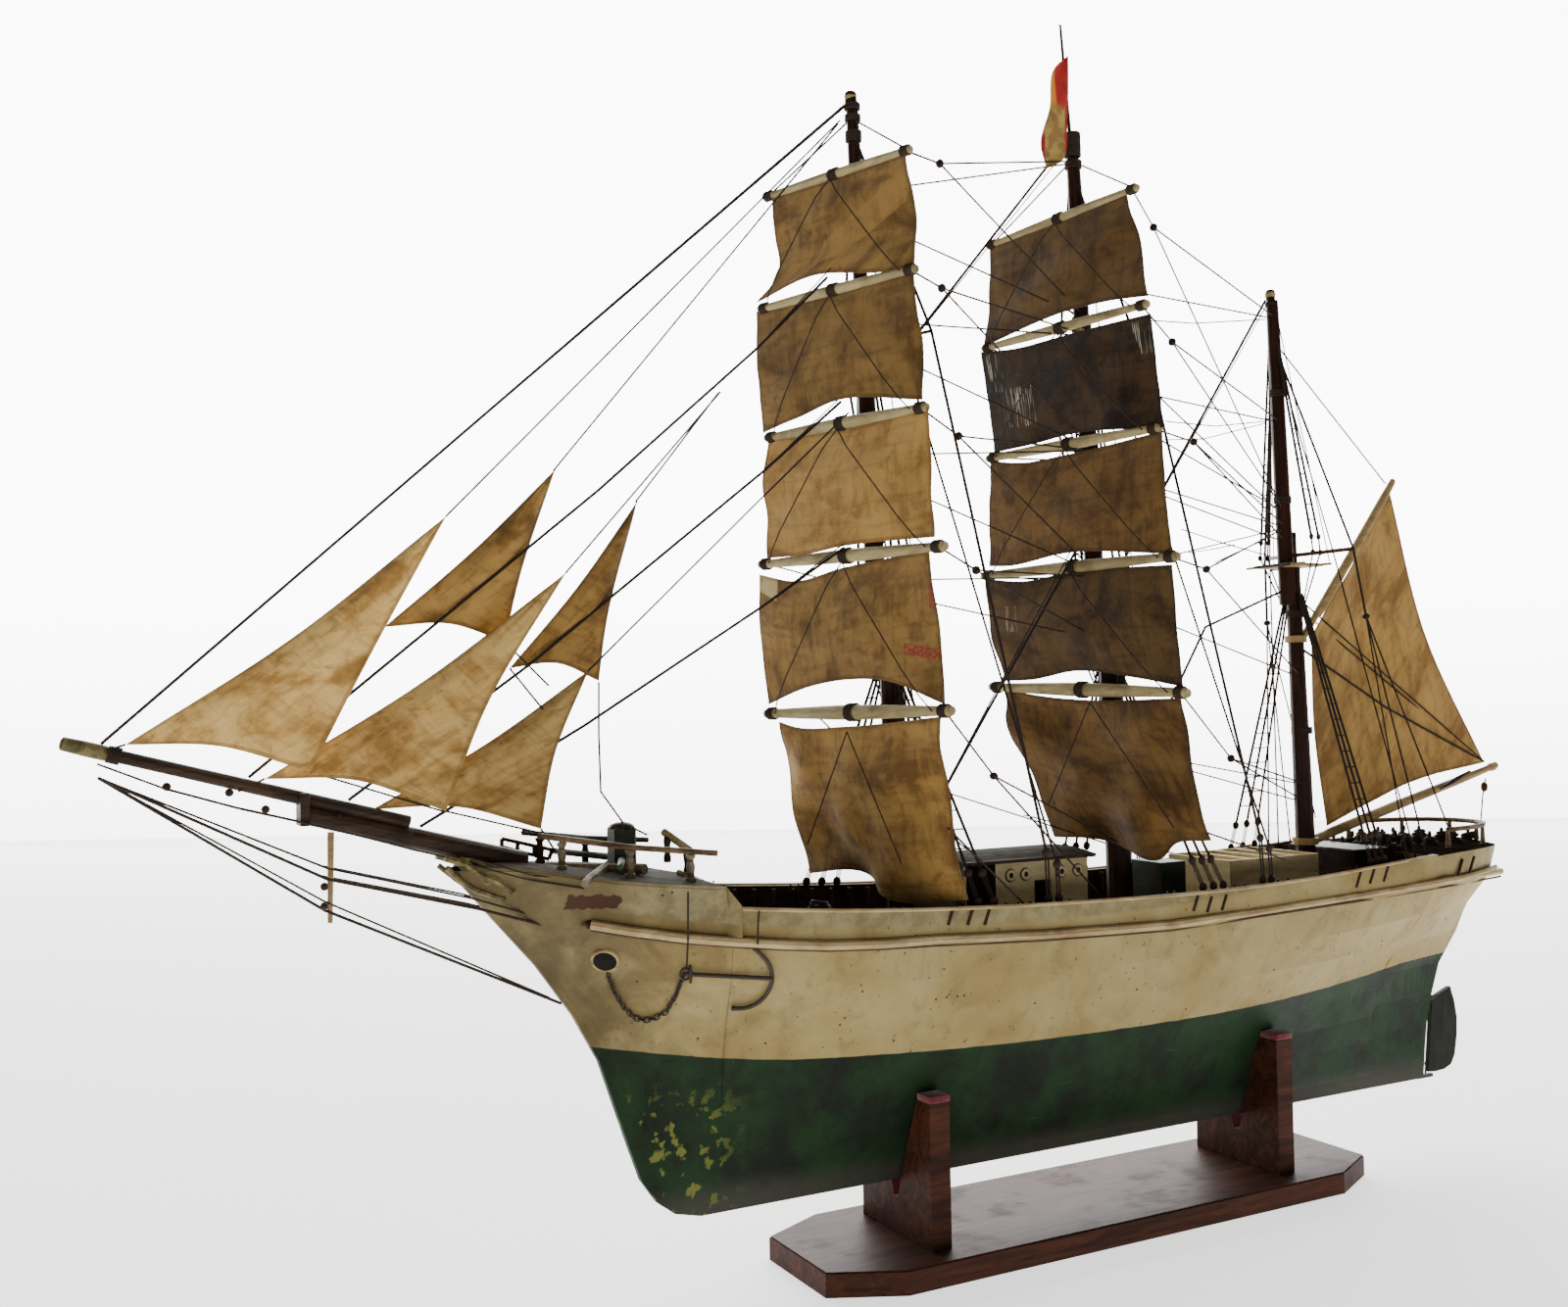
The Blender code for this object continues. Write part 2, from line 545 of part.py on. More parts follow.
def make_waist_pieces():
    """The locker by the main mast, the roofless cabin and the dark coaming before the poop."""
    z = deck_z(0.114) + 2 * GAP
    fused("deck_locker", [box_shape((0.078, -0.042, z), (0.114, 0.010, 0.384), 0.001)], GREEN)
    x0, x1, half = 0.172, 0.312, 0.050
    low, top, wall = max(deck_z(x0), deck_z(x1)) + 2 * GAP, 0.381, 0.003
    cabin = as_object("open_cabin", box_shape((x0, -half, low), (x1, half, top)), CREAM)
    boolean(cabin, as_object("cabin_room", box_shape((x0 + wall, -half + wall, low + wall),
                                                     (x1 - wall, half - wall, top + 0.01))), "DIFFERENCE")
    beams = bmesh.new()
    for x in (0.208, 0.243, 0.278):
        bmesh.ops.create_cube(beams, size=1.0, matrix=Matrix.Translation((x, 0, top - 0.0021))
                              @ Matrix.Diagonal((0.005, 2 * half - wall, 0.004, 1.0)))
    boolean(cabin, as_object("cabin_beams", beams), "UNION")
    low = deck_z(0.432) + 2 * GAP
    coaming = box_shape((0.370, -0.052, low), (0.432, 0.052, 0.3815), 0.0015)
    fused("aft_coaming", [coaming], WOOD_DARK)


def make_taffrail():
    """The rail round the stern on its turned posts."""
    route = ((0.505, -0.076), (0.548, -0.072), (0.588, -0.061), (0.616, -0.042), (0.630, -0.020),
             (0.633, 0.0), (0.630, 0.020), (0.616, 0.042), (0.588, 0.061), (0.548, 0.072), (0.505, 0.076))
    rail = tube_shape([(x, y, 0.4000) for x, y in route], 0.0032, 1)
    shapes = [rail]
    for x, y in route[::2]:
        foot = hull_top(x, "poop") + CAMBER * (1 - abs(y) / hull_half(x, 0.37)) + 0.0006
        shapes.append(rod_shape((x, y, foot), (x, y, 0.3995), 0.0034, 0.0022, 8))
    fused("taffrail", shapes, WOOD_GREY)


def make_rudder():
    """The leaf-shaped rudder, its straps and its hinge rod on the sternpost line."""
    outline = [(x, z) for x, z in RUDDER]
    blade = plate_shape(outline, -RUDDER_HALF, RUDDER_HALF)
    (x0, z0), (x1, z1) = HINGE
    def hinge_x(z):
        return x0 + (x1 - x0) * (z - z0) / (z1 - z0)
    rod = spar_shape((hinge_x(0.0836), 0.0836), (hinge_x(0.1782), 0.1782), 0.0011, 0.0011, 8)
    straps = [box_shape((hinge_x(z) - 0.0008, -0.0016, z - 0.002), (hinge_x(z) + 0.0120, 0.0016, z + 0.002))
              for z in (0.096, 0.168)]
    fused("rudder", [blade, rod] + straps, WOOD_DARK)


def axis_x(mast, part, z):
    x0, z0 = MASTS[mast][part]
    return x0 + MASTS[mast]["rake"] * (z - z0)


def turned_shape(mast, part, levels, steps=12):
    """A round spar up a mast's axis, from (height, radius) rows that run upwards."""
    rings = []
    for z, radius in levels:
        x = axis_x(mast, part, z)
        rings.append([(x + radius * math.cos(a), radius * math.sin(a), z)
                      for a in (2 * math.pi * k / steps for k in range(steps))])
    return loft(rings)


def make_mast(mast):
    row = MASTS[mast]
    r_foot, r_head, r_stub, r_heel, r_top = row["radii"]
    head, heel, truck, deck = row["head"], row["heel"], row["truck"], row["platform"]
    base = axis_x(mast, "low", 0.33)
    foot = max(deck_z(base - r_foot), deck_z(base + r_foot)) + 2 * GAP
    lower = turned_shape(mast, "low", ((foot, r_foot + 0.0015), (foot + 0.006, r_foot + 0.0015),
                                       (foot + 0.0065, r_foot), (deck, r_head), (deck + 0.0005, r_stub),
                                       (head, r_stub)))
    top_x = axis_x(mast, "low", deck)
    platform = box_shape((top_x - 0.034, -0.030, deck), (top_x + 0.020, 0.030, deck + PLATFORM_THICK), 0.0006)
    shapes = [lower, platform]
    if mast != "mizzen":
        cap_x = axis_x(mast, "low", head)
        shapes.append(box_shape((cap_x - 0.027, -0.011, head - 0.007), (cap_x + 0.010, 0.011, head), 0.0006))
    for d in (-0.0286, ARM_BACK):
        ends = [(top_x + d, side * ARM_REACH, deck + PLATFORM_THICK / 2) for side in (-1, 1)]
        shapes.append(rod_shape(*ends, ARM_RADIUS, ARM_RADIUS, 6))
    obj = fused(mast + "_lower_mast", shapes, WOOD_RED)
    clear = turned_shape(mast, "top", ((heel - 0.01, r_heel + STAY_CLEAR), (head + 0.05, r_heel + STAY_CLEAR)))
    boolean(obj, as_object(mast + "_heel_hole", clear), "DIFFERENCE")
    rows = [(heel, r_heel), (head + 0.02, r_heel), (truck - 0.012, r_top), (truck - 0.0118, r_top + 0.0012)]
    rows += [(truck - 0.002, r_top + 0.0012), (truck, r_top)]
    shapes = [turned_shape(mast, "top", rows)]
    if mast == "main":
        x = axis_x(mast, "top", truck - 0.006)
        shapes.append(rod_shape((x, 0, truck - 0.006), (x - 0.011, 0, STAFF_TOP), STAFF_RADIUS, 0.0014, 8))
    fused(mast + "_topmast", shapes, WOOD_RED)


def mast_radius(mast, z):
    """Radius and part of the mast that a yard hangs on."""
    row = MASTS[mast]
    if z < row["heel"]:
        t = (z - 0.34) / (row["heel"] - 0.34)
        return "low", row["radii"][0] + (row["radii"][1] - row["radii"][0]) * t
    t = max(0.0, (z - row["head"] - 0.02) / (row["truck"] - row["head"] - 0.032))
    return "top", row["radii"][3] + (row["radii"][4] - row["radii"][3]) * t


def make_stays(mast):
    """The main stays ahead of a topmast, with the rings they start from and the topmast shrouds."""
    row = MASTS[mast]
    shapes = []
    top_z = STAYS[mast][0][0]
    radius = mast_radius(mast, top_z)[1] + STAY_RING / 2
    arm_x = axis_x(mast, "low", row["platform"]) + ARM_BACK
    arm_z = row["platform"] + PLATFORM_THICK / 2 + ARM_RADIUS + GAP + STAY
    for side in (-1, 1):
        head = Vector((axis_x(mast, "top", top_z), side * radius, top_z))
        foot = Vector((arm_x, side * (ARM_REACH - 0.002), arm_z))
        shapes.append(rod_shape(head, foot, STAY, STAY, 6))
        for z, points in STAYS[mast][1:]:
            x, thick = axis_x(mast, "top", z), mast_radius(mast, z)[1]
            near = Vector((x, side * (thick + STAY_RING / 2), z))
            shapes.append(rod_shape(near, head.lerp(foot, (top_z - z) / (top_z - arm_z)), STAY, STAY, 6))
    for z, points in STAYS[mast]:
        x, thick = axis_x(mast, "top", z), mast_radius(mast, z)[1]
        shapes.append(rod_shape((x, 0, z - 0.0015), (x, 0, z + 0.0015), thick + STAY_RING, thick + STAY_RING, 12))
        route = [(x - thick - STAY_RING / 2, 0, z)] + [(px, 0, pz) for px, pz in points]
        shapes.append(tube_shape(route, STAY, 1))
    obj = fused(mast + "_stays", shapes, ROPE)
    low = min(z for z, points in STAYS[mast]) - 0.01
    levels = [z for z in (low, row["head"] + 0.02) if z >= low] + [top_z + 0.005]
    bore = turned_shape(mast, "top", [(z, mast_radius(mast, z)[1] + STAY_CLEAR) for z in sorted(levels)])
    boolean(obj, as_object(obj.name + "_bore", bore), "DIFFERENCE")


def yard_ends(row):
    name, x, z, half, brace, tilt = row
    b, t = math.radians(brace), math.radians(tilt)
    arm = Vector((math.sin(b) * math.cos(t), math.cos(b) * math.cos(t), math.sin(t))) * half
    centre = Vector((x, 0, z))
    return centre - arm, centre + arm


def spindle_shape(a, b, rows, steps=8):
    """A round bar from a to b whose radius follows rows of (share of the length, radius)."""
    a, b = Vector(a), Vector(b)
    turn = (b - a).to_track_quat("Z", "Y").to_matrix()
    rings = []
    for share, radius in rows:
        centre = a.lerp(b, share)
        rings.append([centre + turn @ Vector((radius * math.cos(k), radius * math.sin(k), 0))
                      for k in (2 * math.pi * i / steps for i in range(steps))])
    return loft(rings)


def make_yard(mast, row, radius):
    """A tapered yard with the truss and collar that hold it ahead of its mast."""
    port, starboard = yard_ends(row)
    rows = ((0.0, radius * 0.75), (0.012, radius * 0.95), (0.030, radius * 0.6), (0.5, radius),
            (0.970, radius * 0.6), (0.988, radius * 0.95), (1.0, radius * 0.75))
    spar = spindle_shape(port, starboard, rows, 8)
    part, thick = mast_radius(mast, row[2])
    x = axis_x(mast, part, row[2])
    truss = rod_shape((row[1], 0, row[2] - 0.0003), (x - thick - 0.0012, 0, row[2] - 0.0003), 0.0023, 0.0021, 7)
    collar = rod_shape((x, 0, row[2] - 0.0035), (x, 0, row[2] + 0.0035), thick + 0.0026, thick + 0.0026, 10)
    obj = fused(mast + "_" + row[0] + "_yard", [spar, truss, collar], WOOD_GREY)
    low, high = row[2] - 0.03, row[2] + 0.03
    bore = turned_shape(mast, part, ((low, thick + 0.0007), (high, thick + 0.0007)), 10)
    boolean(obj, as_object(obj.name + "_bore", bore), "DIFFERENCE")


def sheet_shape(corner, across, down, thick=CLOTH):
    """A closed thin panel: corner(u, v) gives its middle surface for u and v from 0 to 1."""
    bm = bmesh.new()
    grids = []
    for sign in (-0.5, 0.5):
        rows = []
        for j in range(down + 1):
            v = j / down
            row = []
            for i in range(across + 1):
                u = i / across
                du = corner(min(u + 0.01, 1), v) - corner(max(u - 0.01, 0), v)
                dv = corner(u, min(v + 0.01, 1)) - corner(u, max(v - 0.01, 0))
                row.append(bm.verts.new(corner(u, v) + du.cross(dv).normalized() * sign * thick))
            rows.append(row)
        for a, b in zip(rows, rows[1:]):
            for i in range(across):
                bm.faces.new((a[i], a[i + 1], b[i + 1], b[i]))
        grids.append(rows)
    near, far = grids
    for a, b in ((near[0], far[0]), (near[-1], far[-1])):
        for i in range(across):
            bm.faces.new((a[i], a[i + 1], b[i + 1], b[i]))
    for i in (0, across):
        for j in range(down):
            bm.faces.new((near[j][i], near[j + 1][i], far[j + 1][i], far[j][i]))
    return bm


def make_square_sail(mast, upper, lower, radius_up, radius_low):
    """A sail bent under its yard and sheeted to the ends of the yard below."""
    head_port, head_star = yard_ends(upper)
    foot_port, foot_star = yard_ends(lower)
    drop = Vector((0, 0, -radius_up - SAIL_GAP))
    lift = Vector((0, 0, radius_low + SAIL_GAP))

    def surface(u, v):
        head = head_port.lerp(head_star, 0.05 + 0.90 * u) + drop
        foot = foot_port.lerp(foot_star, 0.03 + 0.94 * u) + lift
        foot += Vector((0, 0, FOOT_ARCH * 4 * u * (1 - u)))
        belly = BELLY * math.sin(math.pi * u) * math.sin(0.8 * math.pi * v)
        return head.lerp(foot, v) + Vector((-belly, 0, 0))
    as_object(mast + "_" + upper[0] + "_sail", sheet_shape(surface, 6, 6), LINEN)


def make_course(mast, row, radius, foot_port, foot_star):
    """A lowest sail that hangs loose to the deck."""
    head_port, head_star = yard_ends(row)
    drop = Vector((0, 0, -radius - SAIL_GAP))

    def surface(u, v):
        head = head_port.lerp(head_star, 0.05 + 0.90 * u) + drop
        foot = Vector(foot_port).lerp(Vector(foot_star), u)
        wave = 0.006 * math.sin(3 * math.pi * u) * v
        return head.lerp(foot, v) + Vector((wave, 0, 0))
    as_object(mast + "_course_sail", sheet_shape(surface, 8, 7), LINEN)


def boom_top(x):
    """Where a line ends on top of the jibboom."""
    (x0, z0), (x1, z1) = JIBBOOM
    share = (x - x0) / (x1 - x0)
    radius = JIBBOOM_RADII[0] + (JIBBOOM_RADII[1] - JIBBOOM_RADII[0]) * share
    return Vector((x, 0, z0 + (z1 - z0) * share + (radius + 2 * GAP) * 1.04))


def make_headsails():
    """Each headsail with the halyard at its head and the short line at its tack."""
    for name, (tack, head, clew, luff_y, clew_y, mast_z, mast_y, hold) in HEADSAILS.items():
        a = Vector((tack[0], luff_y, tack[1]))
        b = Vector((head[0], luff_y, head[1]))
        c = Vector((clew[0], clew_y, clew[1]))

        def surface(u, v, a=a, b=b, c=c):
            along = 0.03 + 0.95 * u
            luff = a.lerp(b, along)
            leech = c.lerp(b, along)
            hollow = (a.lerp(b, 0.5) - c) * 0.05 * 4 * u * (1 - u)
            return luff.lerp(leech + hollow * v, v)
        ring = mast_radius("fore", mast_z)[1] + (STAY_RING if mast_y else 0.0) + 2 * GAP + HALYARD
        mast_end = Vector((axis_x("fore", "top", mast_z) - ring, mast_y, mast_z))
        if isinstance(hold, tuple):
            hold_end = Vector((*hold, forecastle_top(hold[0], hold[1]) + 2 * GAP + HALYARD))
        else:
            hold_end = boom_top(hold)
        shapes = [sheet_shape(surface, 7, 4)]
        for corner, end in ((surface(0.99, 0.4), mast_end), (surface(0.012, 0.12), hold_end)):
            eye = Vector((0, 0.0013, 0))
            shapes.append(rod_shape(corner - eye, corner + eye, EYE, EYE, 6))
            shapes.append(rod_shape(corner, end, HALYARD, HALYARD, 6))
        fused(name + "_sail", shapes, LINEN)


def make_bowsprit():
    (x0, z0), (x1, z1) = BOWSPRIT
    spar = spar_shape(BOWSPRIT[0], BOWSPRIT[1], *BOWSPRIT_RADII, steps=14)
    cap = box_shape((x1 - 0.004, -0.011, z1 - 0.010), (x1 + 0.004, 0.011, z1 + 0.018), 0.001)
    obj = fused("bowsprit", [spar, cap], WOOD_RED)
    clear = spar_shape(JIBBOOM[0], JIBBOOM[1], JIBBOOM_RADII[0] + 0.0004, JIBBOOM_RADII[1] + 0.0004, 14)
    boolean(obj, as_object("jibboom_bed", clear), "DIFFERENCE")
    boom = spar_shape(JIBBOOM[0], JIBBOOM[1], *JIBBOOM_RADII, steps=12)
    as_object("jibboom", boom, WOOD_RED)
    striker = rod_shape((-0.812, 0, 0.4634), (-0.813, 0, 0.386), 0.0030, 0.0022, 8)
    as_object("dolphin_striker", striker, WOOD_GREY)


def make_spanker():
    """The boom, gaff and sail behind the mizzen mast."""
    for name, (a, b), radius in zip(("spanker_boom", "spanker_gaff"), (BOOM, GAFF), SPAR_RADII):
        x = axis_x("mizzen", "low", a[1])
        thick = mast_radius("mizzen", a[1])[1]
        low, high = Vector((x + thick + 0.0012, 0, a[1])), Vector((b[0], 0, b[1]))
        spar = spindle_shape(low, high,
                             ((0.0, radius), (0.4, radius), (0.96, radius * 0.7), (0.965, radius * 0.95),
                              (1.0, radius * 0.8)), 10)
        jaws = rod_shape((x, 0, a[1] - 0.004), (x, 0, a[1] + 0.004), thick + 0.0040, thick + 0.0040, 14)
        obj = fused(name, [spar, jaws], WOOD_GREY)
        bore = turned_shape("mizzen", "low", [(z, thick + JAW_CLEAR) for z in (a[1] - 0.04, a[1] + 0.04)], 16)
        boolean(obj, as_object(name + "_bore", bore), "DIFFERENCE")
    tack, clew = (Vector((x, 0, z)) for x, z in SPANKER_FOOT)
    under = (high - low).normalized().cross(Vector((0, 1, 0))) * -(SPAR_RADII[1] + SAIL_GAP)
    throat, peak = (low.lerp(high, share) + under for share in SPANKER_HEAD)

    def surface(u, v):
        foot = tack.lerp(clew, u)
        head = throat.lerp(peak, u)
        belly = BELLY * math.sin(math.pi * u) * math.sin(math.pi * v)
        return foot.lerp(head, v) + Vector((0, belly, 0))
    as_object("spanker_sail", sheet_shape(surface, 6, 8), LINEN)


def make_flag():
    outline = ((-0.0050, 1.292), (0.0035, 1.286), (0.0045, 1.214), (-0.0040, 1.196), (-0.0350, 1.157),
               (-0.0310, 1.196), (-0.0140, 1.250))
    as_object("flag", plate_shape(outline, -0.0062, -0.0030), LINEN)


def link_shape(a, b, flip):
    """One oval chain link from joint a to joint b, turned a quarter from its neighbour when flip is set."""
    size = (b - a).length / 2
    along = (b - a).normalized()
    out = along.cross(Vector((0, 0, 1))).normalized()
    across = out if flip else along.cross(out).normalized()
    normal = along.cross(across).normalized()
    rings = []
    for k in range(6):
        angle = 2 * math.pi * k / 6
        spoke = along * math.cos(angle) * size + across * math.sin(angle) * size * LINK_WIDTH
        outward = spoke.normalized() * size * LINK_WIRE
        rings.append([(a + b) / 2 + spoke + outward * math.cos(t) + normal * math.sin(t) * size * LINK_WIRE
                      for t in (2 * math.pi * j / 3 for j in range(3))])
    bm = bmesh.new()
    rows = [[bm.verts.new(p) for p in ring] for ring in rings]
    for here, following in zip(rows, rows[1:] + rows[:1]):
        for j in range(3):
            bm.faces.new((here[j], here[(j + 1) % 3], following[(j + 1) % 3], following[j]))
    return bm


def make_anchor(name, side):
    """Anchor with a curved arm, and the chain that hangs from the hawse hole to its ring."""
    ring = side_point(*ANCHOR_RING, -1, ANCHOR_OUT)
    crown = side_point(*ANCHOR_CROWN, -1, ANCHOR_OUT)
    arms = [Vector((x, crown.y - ANCHOR_FLARE * (z - crown.z), z)) for x, z in ANCHOR_ARMS]
    shapes = [rod_shape(ring, crown, 0.0014, 0.0020, 6), tube_shape(arms, 0.0018, 1)]
    for held, rail_z in ((ring, hermite(FORECASTLE, ring.x) - 0.0015), (ring.lerp(crown, 0.9), None)):
        high = rail_z or hermite(RAIL, held.x) - CAP / 2
        wale = side_point(held.x, hermite(WALE, held.x), -1, BEAD_BACK_BOW + BEAD + 3 * GAP + HANGER)
        rim = side_point(held.x, high, -1, WALL_OUT + CAP_LIP + 2 * GAP + HANGER)
        shapes.append(tube_shape([held, wale, rim], HANGER, 1))
    sill = HAWSE[1] - HAWSE_RADIUS + CHAIN_SEAT
    inner, outer = side_point(HAWSE[0], sill, -1, -0.004), side_point(HAWSE[0], sill, -1, 0.0065)
    fine = np.linspace(0.0, 1.0, 900)
    path = [inner.lerp(outer, t) for t in np.linspace(0.0, 1.0, 100)]
    path += [outer.lerp(ring, t) - Vector((0, 0, CHAIN_SAG * 4 * t * (1 - t))) for t in fine[1:]]
    run = np.concatenate(([0.0], np.cumsum([(b - a).length for a, b in zip(path, path[1:])])))
    count = round(run[-1] / LINK)
    joints = [path[int(np.searchsorted(run, run[-1] * k / count - 1e-9))] for k in range(count + 1)]
    shapes += [link_shape(a, b, k % 2 == 0) for k, (a, b) in enumerate(zip(joints, joints[1:]))]
    if side > 0:
        for shape in shapes:
            bmesh.ops.scale(shape, vec=(1, -1, 1), verts=shape.verts)
            bmesh.ops.reverse_faces(shape, faces=shape.faces)
    fused(name, shapes, IRON)


def make_ship():
    make_stand()
    make_hull()
    make_bulwarks()
    make_forecastle()
    make_deckhouse()
    make_waist_pieces()
    make_taffrail()
    make_rudder()
    make_bowsprit()
    for mast in MASTS:
        make_mast(mast)
        make_stays(mast)
    for mast, rows in YARDS.items():
        for row, radius in zip(rows, YARD_RADII):
            make_yard(mast, row, radius)
        for k in range(4):
            make_square_sail(mast, rows[k], rows[k + 1], YARD_RADII[k], YARD_RADII[k + 1])
    make_course("fore", YARDS["fore"][4], YARD_RADII[4], (-0.232, -0.075, 0.372), (-0.295, 0.085, 0.380))
    make_course("main", YARDS["main"][4], YARD_RADII[4], (0.055, -0.085, 0.395), (0.010, 0.095, 0.410))
    make_headsails()
    make_spanker()
    make_flag()
    make_anchor("anchor_port", -1)
    make_anchor("anchor_starboard", 1)


make_ship()
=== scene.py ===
"""Looks of the three-masted barque model: paint, cloth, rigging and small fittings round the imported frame."""

import math
import random

import bmesh
import bpy
import numpy as np
from mathutils import Matrix, Vector


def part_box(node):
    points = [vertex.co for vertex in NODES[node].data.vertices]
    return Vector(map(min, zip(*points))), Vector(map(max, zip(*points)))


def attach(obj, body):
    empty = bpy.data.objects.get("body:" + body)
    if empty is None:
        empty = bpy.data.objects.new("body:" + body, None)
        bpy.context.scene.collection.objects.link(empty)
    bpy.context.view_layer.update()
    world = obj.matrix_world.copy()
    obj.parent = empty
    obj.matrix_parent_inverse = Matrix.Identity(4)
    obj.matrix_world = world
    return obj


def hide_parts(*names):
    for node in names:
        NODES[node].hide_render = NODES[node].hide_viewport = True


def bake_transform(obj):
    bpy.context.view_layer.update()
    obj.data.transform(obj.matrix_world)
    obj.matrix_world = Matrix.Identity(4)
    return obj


bl_info = {
    "name": "Barque model dresser",
    "version": (1, 0, 0),
    "blender": (4, 5, 0),
    "location": "3D View > Sidebar > Barque",
    "description": "Paints, rigs and sets the sails of a display model of a barque",
    "category": "Object",
}

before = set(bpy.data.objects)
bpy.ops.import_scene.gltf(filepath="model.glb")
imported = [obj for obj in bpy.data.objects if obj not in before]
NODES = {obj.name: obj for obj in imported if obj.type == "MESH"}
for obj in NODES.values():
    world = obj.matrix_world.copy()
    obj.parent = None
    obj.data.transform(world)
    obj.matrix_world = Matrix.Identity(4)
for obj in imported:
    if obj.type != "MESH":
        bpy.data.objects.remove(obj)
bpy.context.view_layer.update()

# The photograph's camera: place in metres, then yaw, pitch and roll in degrees, and lens in millimetres
CAMERA_PLACE = Vector((-1.082, -1.334, 0.571))
CAMERA_TURN = (28.12, 1.74, -0.87)
CAMERA_LENS = 34.83
SENSOR = 36.0
PHOTO = (1600, 1334)


def camera_axes():
    """Right, up and forward of the camera."""
    yaw, pitch, roll = (math.radians(a) for a in CAMERA_TURN)
    forward = Vector((math.sin(yaw) * math.cos(pitch), math.cos(yaw) * math.cos(pitch), math.sin(pitch)))
    right = Vector((math.cos(yaw), -math.sin(yaw), 0))
    up = right.cross(forward)
    return (right * math.cos(roll) + up * math.sin(roll), up * math.cos(roll) - right * math.sin(roll), forward)


RIGHT, UP, FORWARD = camera_axes()
FOCAL = CAMERA_LENS / SENSOR * PHOTO[0]


def sight(pixel):
    """The direction in which the camera sees a pixel."""
    return FORWARD + RIGHT * ((pixel[0] - PHOTO[0] / 2) / FOCAL) - UP * ((pixel[1] - PHOTO[1] / 2) / FOCAL)


def on_plane(pixel, point, normal):
    """The place on a plane that the photograph shows at a pixel."""
    ray = sight(pixel)
    return CAMERA_PLACE + ray * ((Vector(point) - CAMERA_PLACE).dot(normal) / ray.dot(normal))


def on_middle(pixel, y=0.0):
    """The place that a pixel shows on the ship's middle plane, or on one beside it."""
    return on_plane(pixel, (0, y, 0), Vector((0, 1, 0)))


# Small tools for the node trees

class Value:
    """A socket of a material's tree, with arithmetic."""

    def __init__(self, tree, socket):
        self.tree = tree
        self.socket = socket

    def math(self, operation, *others):
        node = self.tree.nodes.new("ShaderNodeMath")
        node.operation = operation
        for slot, value in zip(node.inputs, others):
            if isinstance(value, Value):
                self.tree.links.new(value.socket, slot)
            else:
                slot.default_value = value
        return Value(self.tree, node.outputs[0])

    def __add__(self, other):
        return self.math("ADD", self, other)

    __radd__ = __add__

    def __mul__(self, other):
        return self.math("MULTIPLY", self, other)

    __rmul__ = __mul__

    def __sub__(self, other):
        return self.math("SUBTRACT", self, other)

    def __rsub__(self, other):
        return self.math("SUBTRACT", other, self)

    def __truediv__(self, other):
        return self.math("DIVIDE", self, other)

    def __pow__(self, other):
        return self.math("POWER", self, other)

    def below(self, other):
        return self.math("MINIMUM", self, other)

    def above(self, other):
        return self.math("MAXIMUM", self, other)

    def size(self):
        return self.math("ABSOLUTE", self)

    def part(self):
        return self.math("FRACT", self)


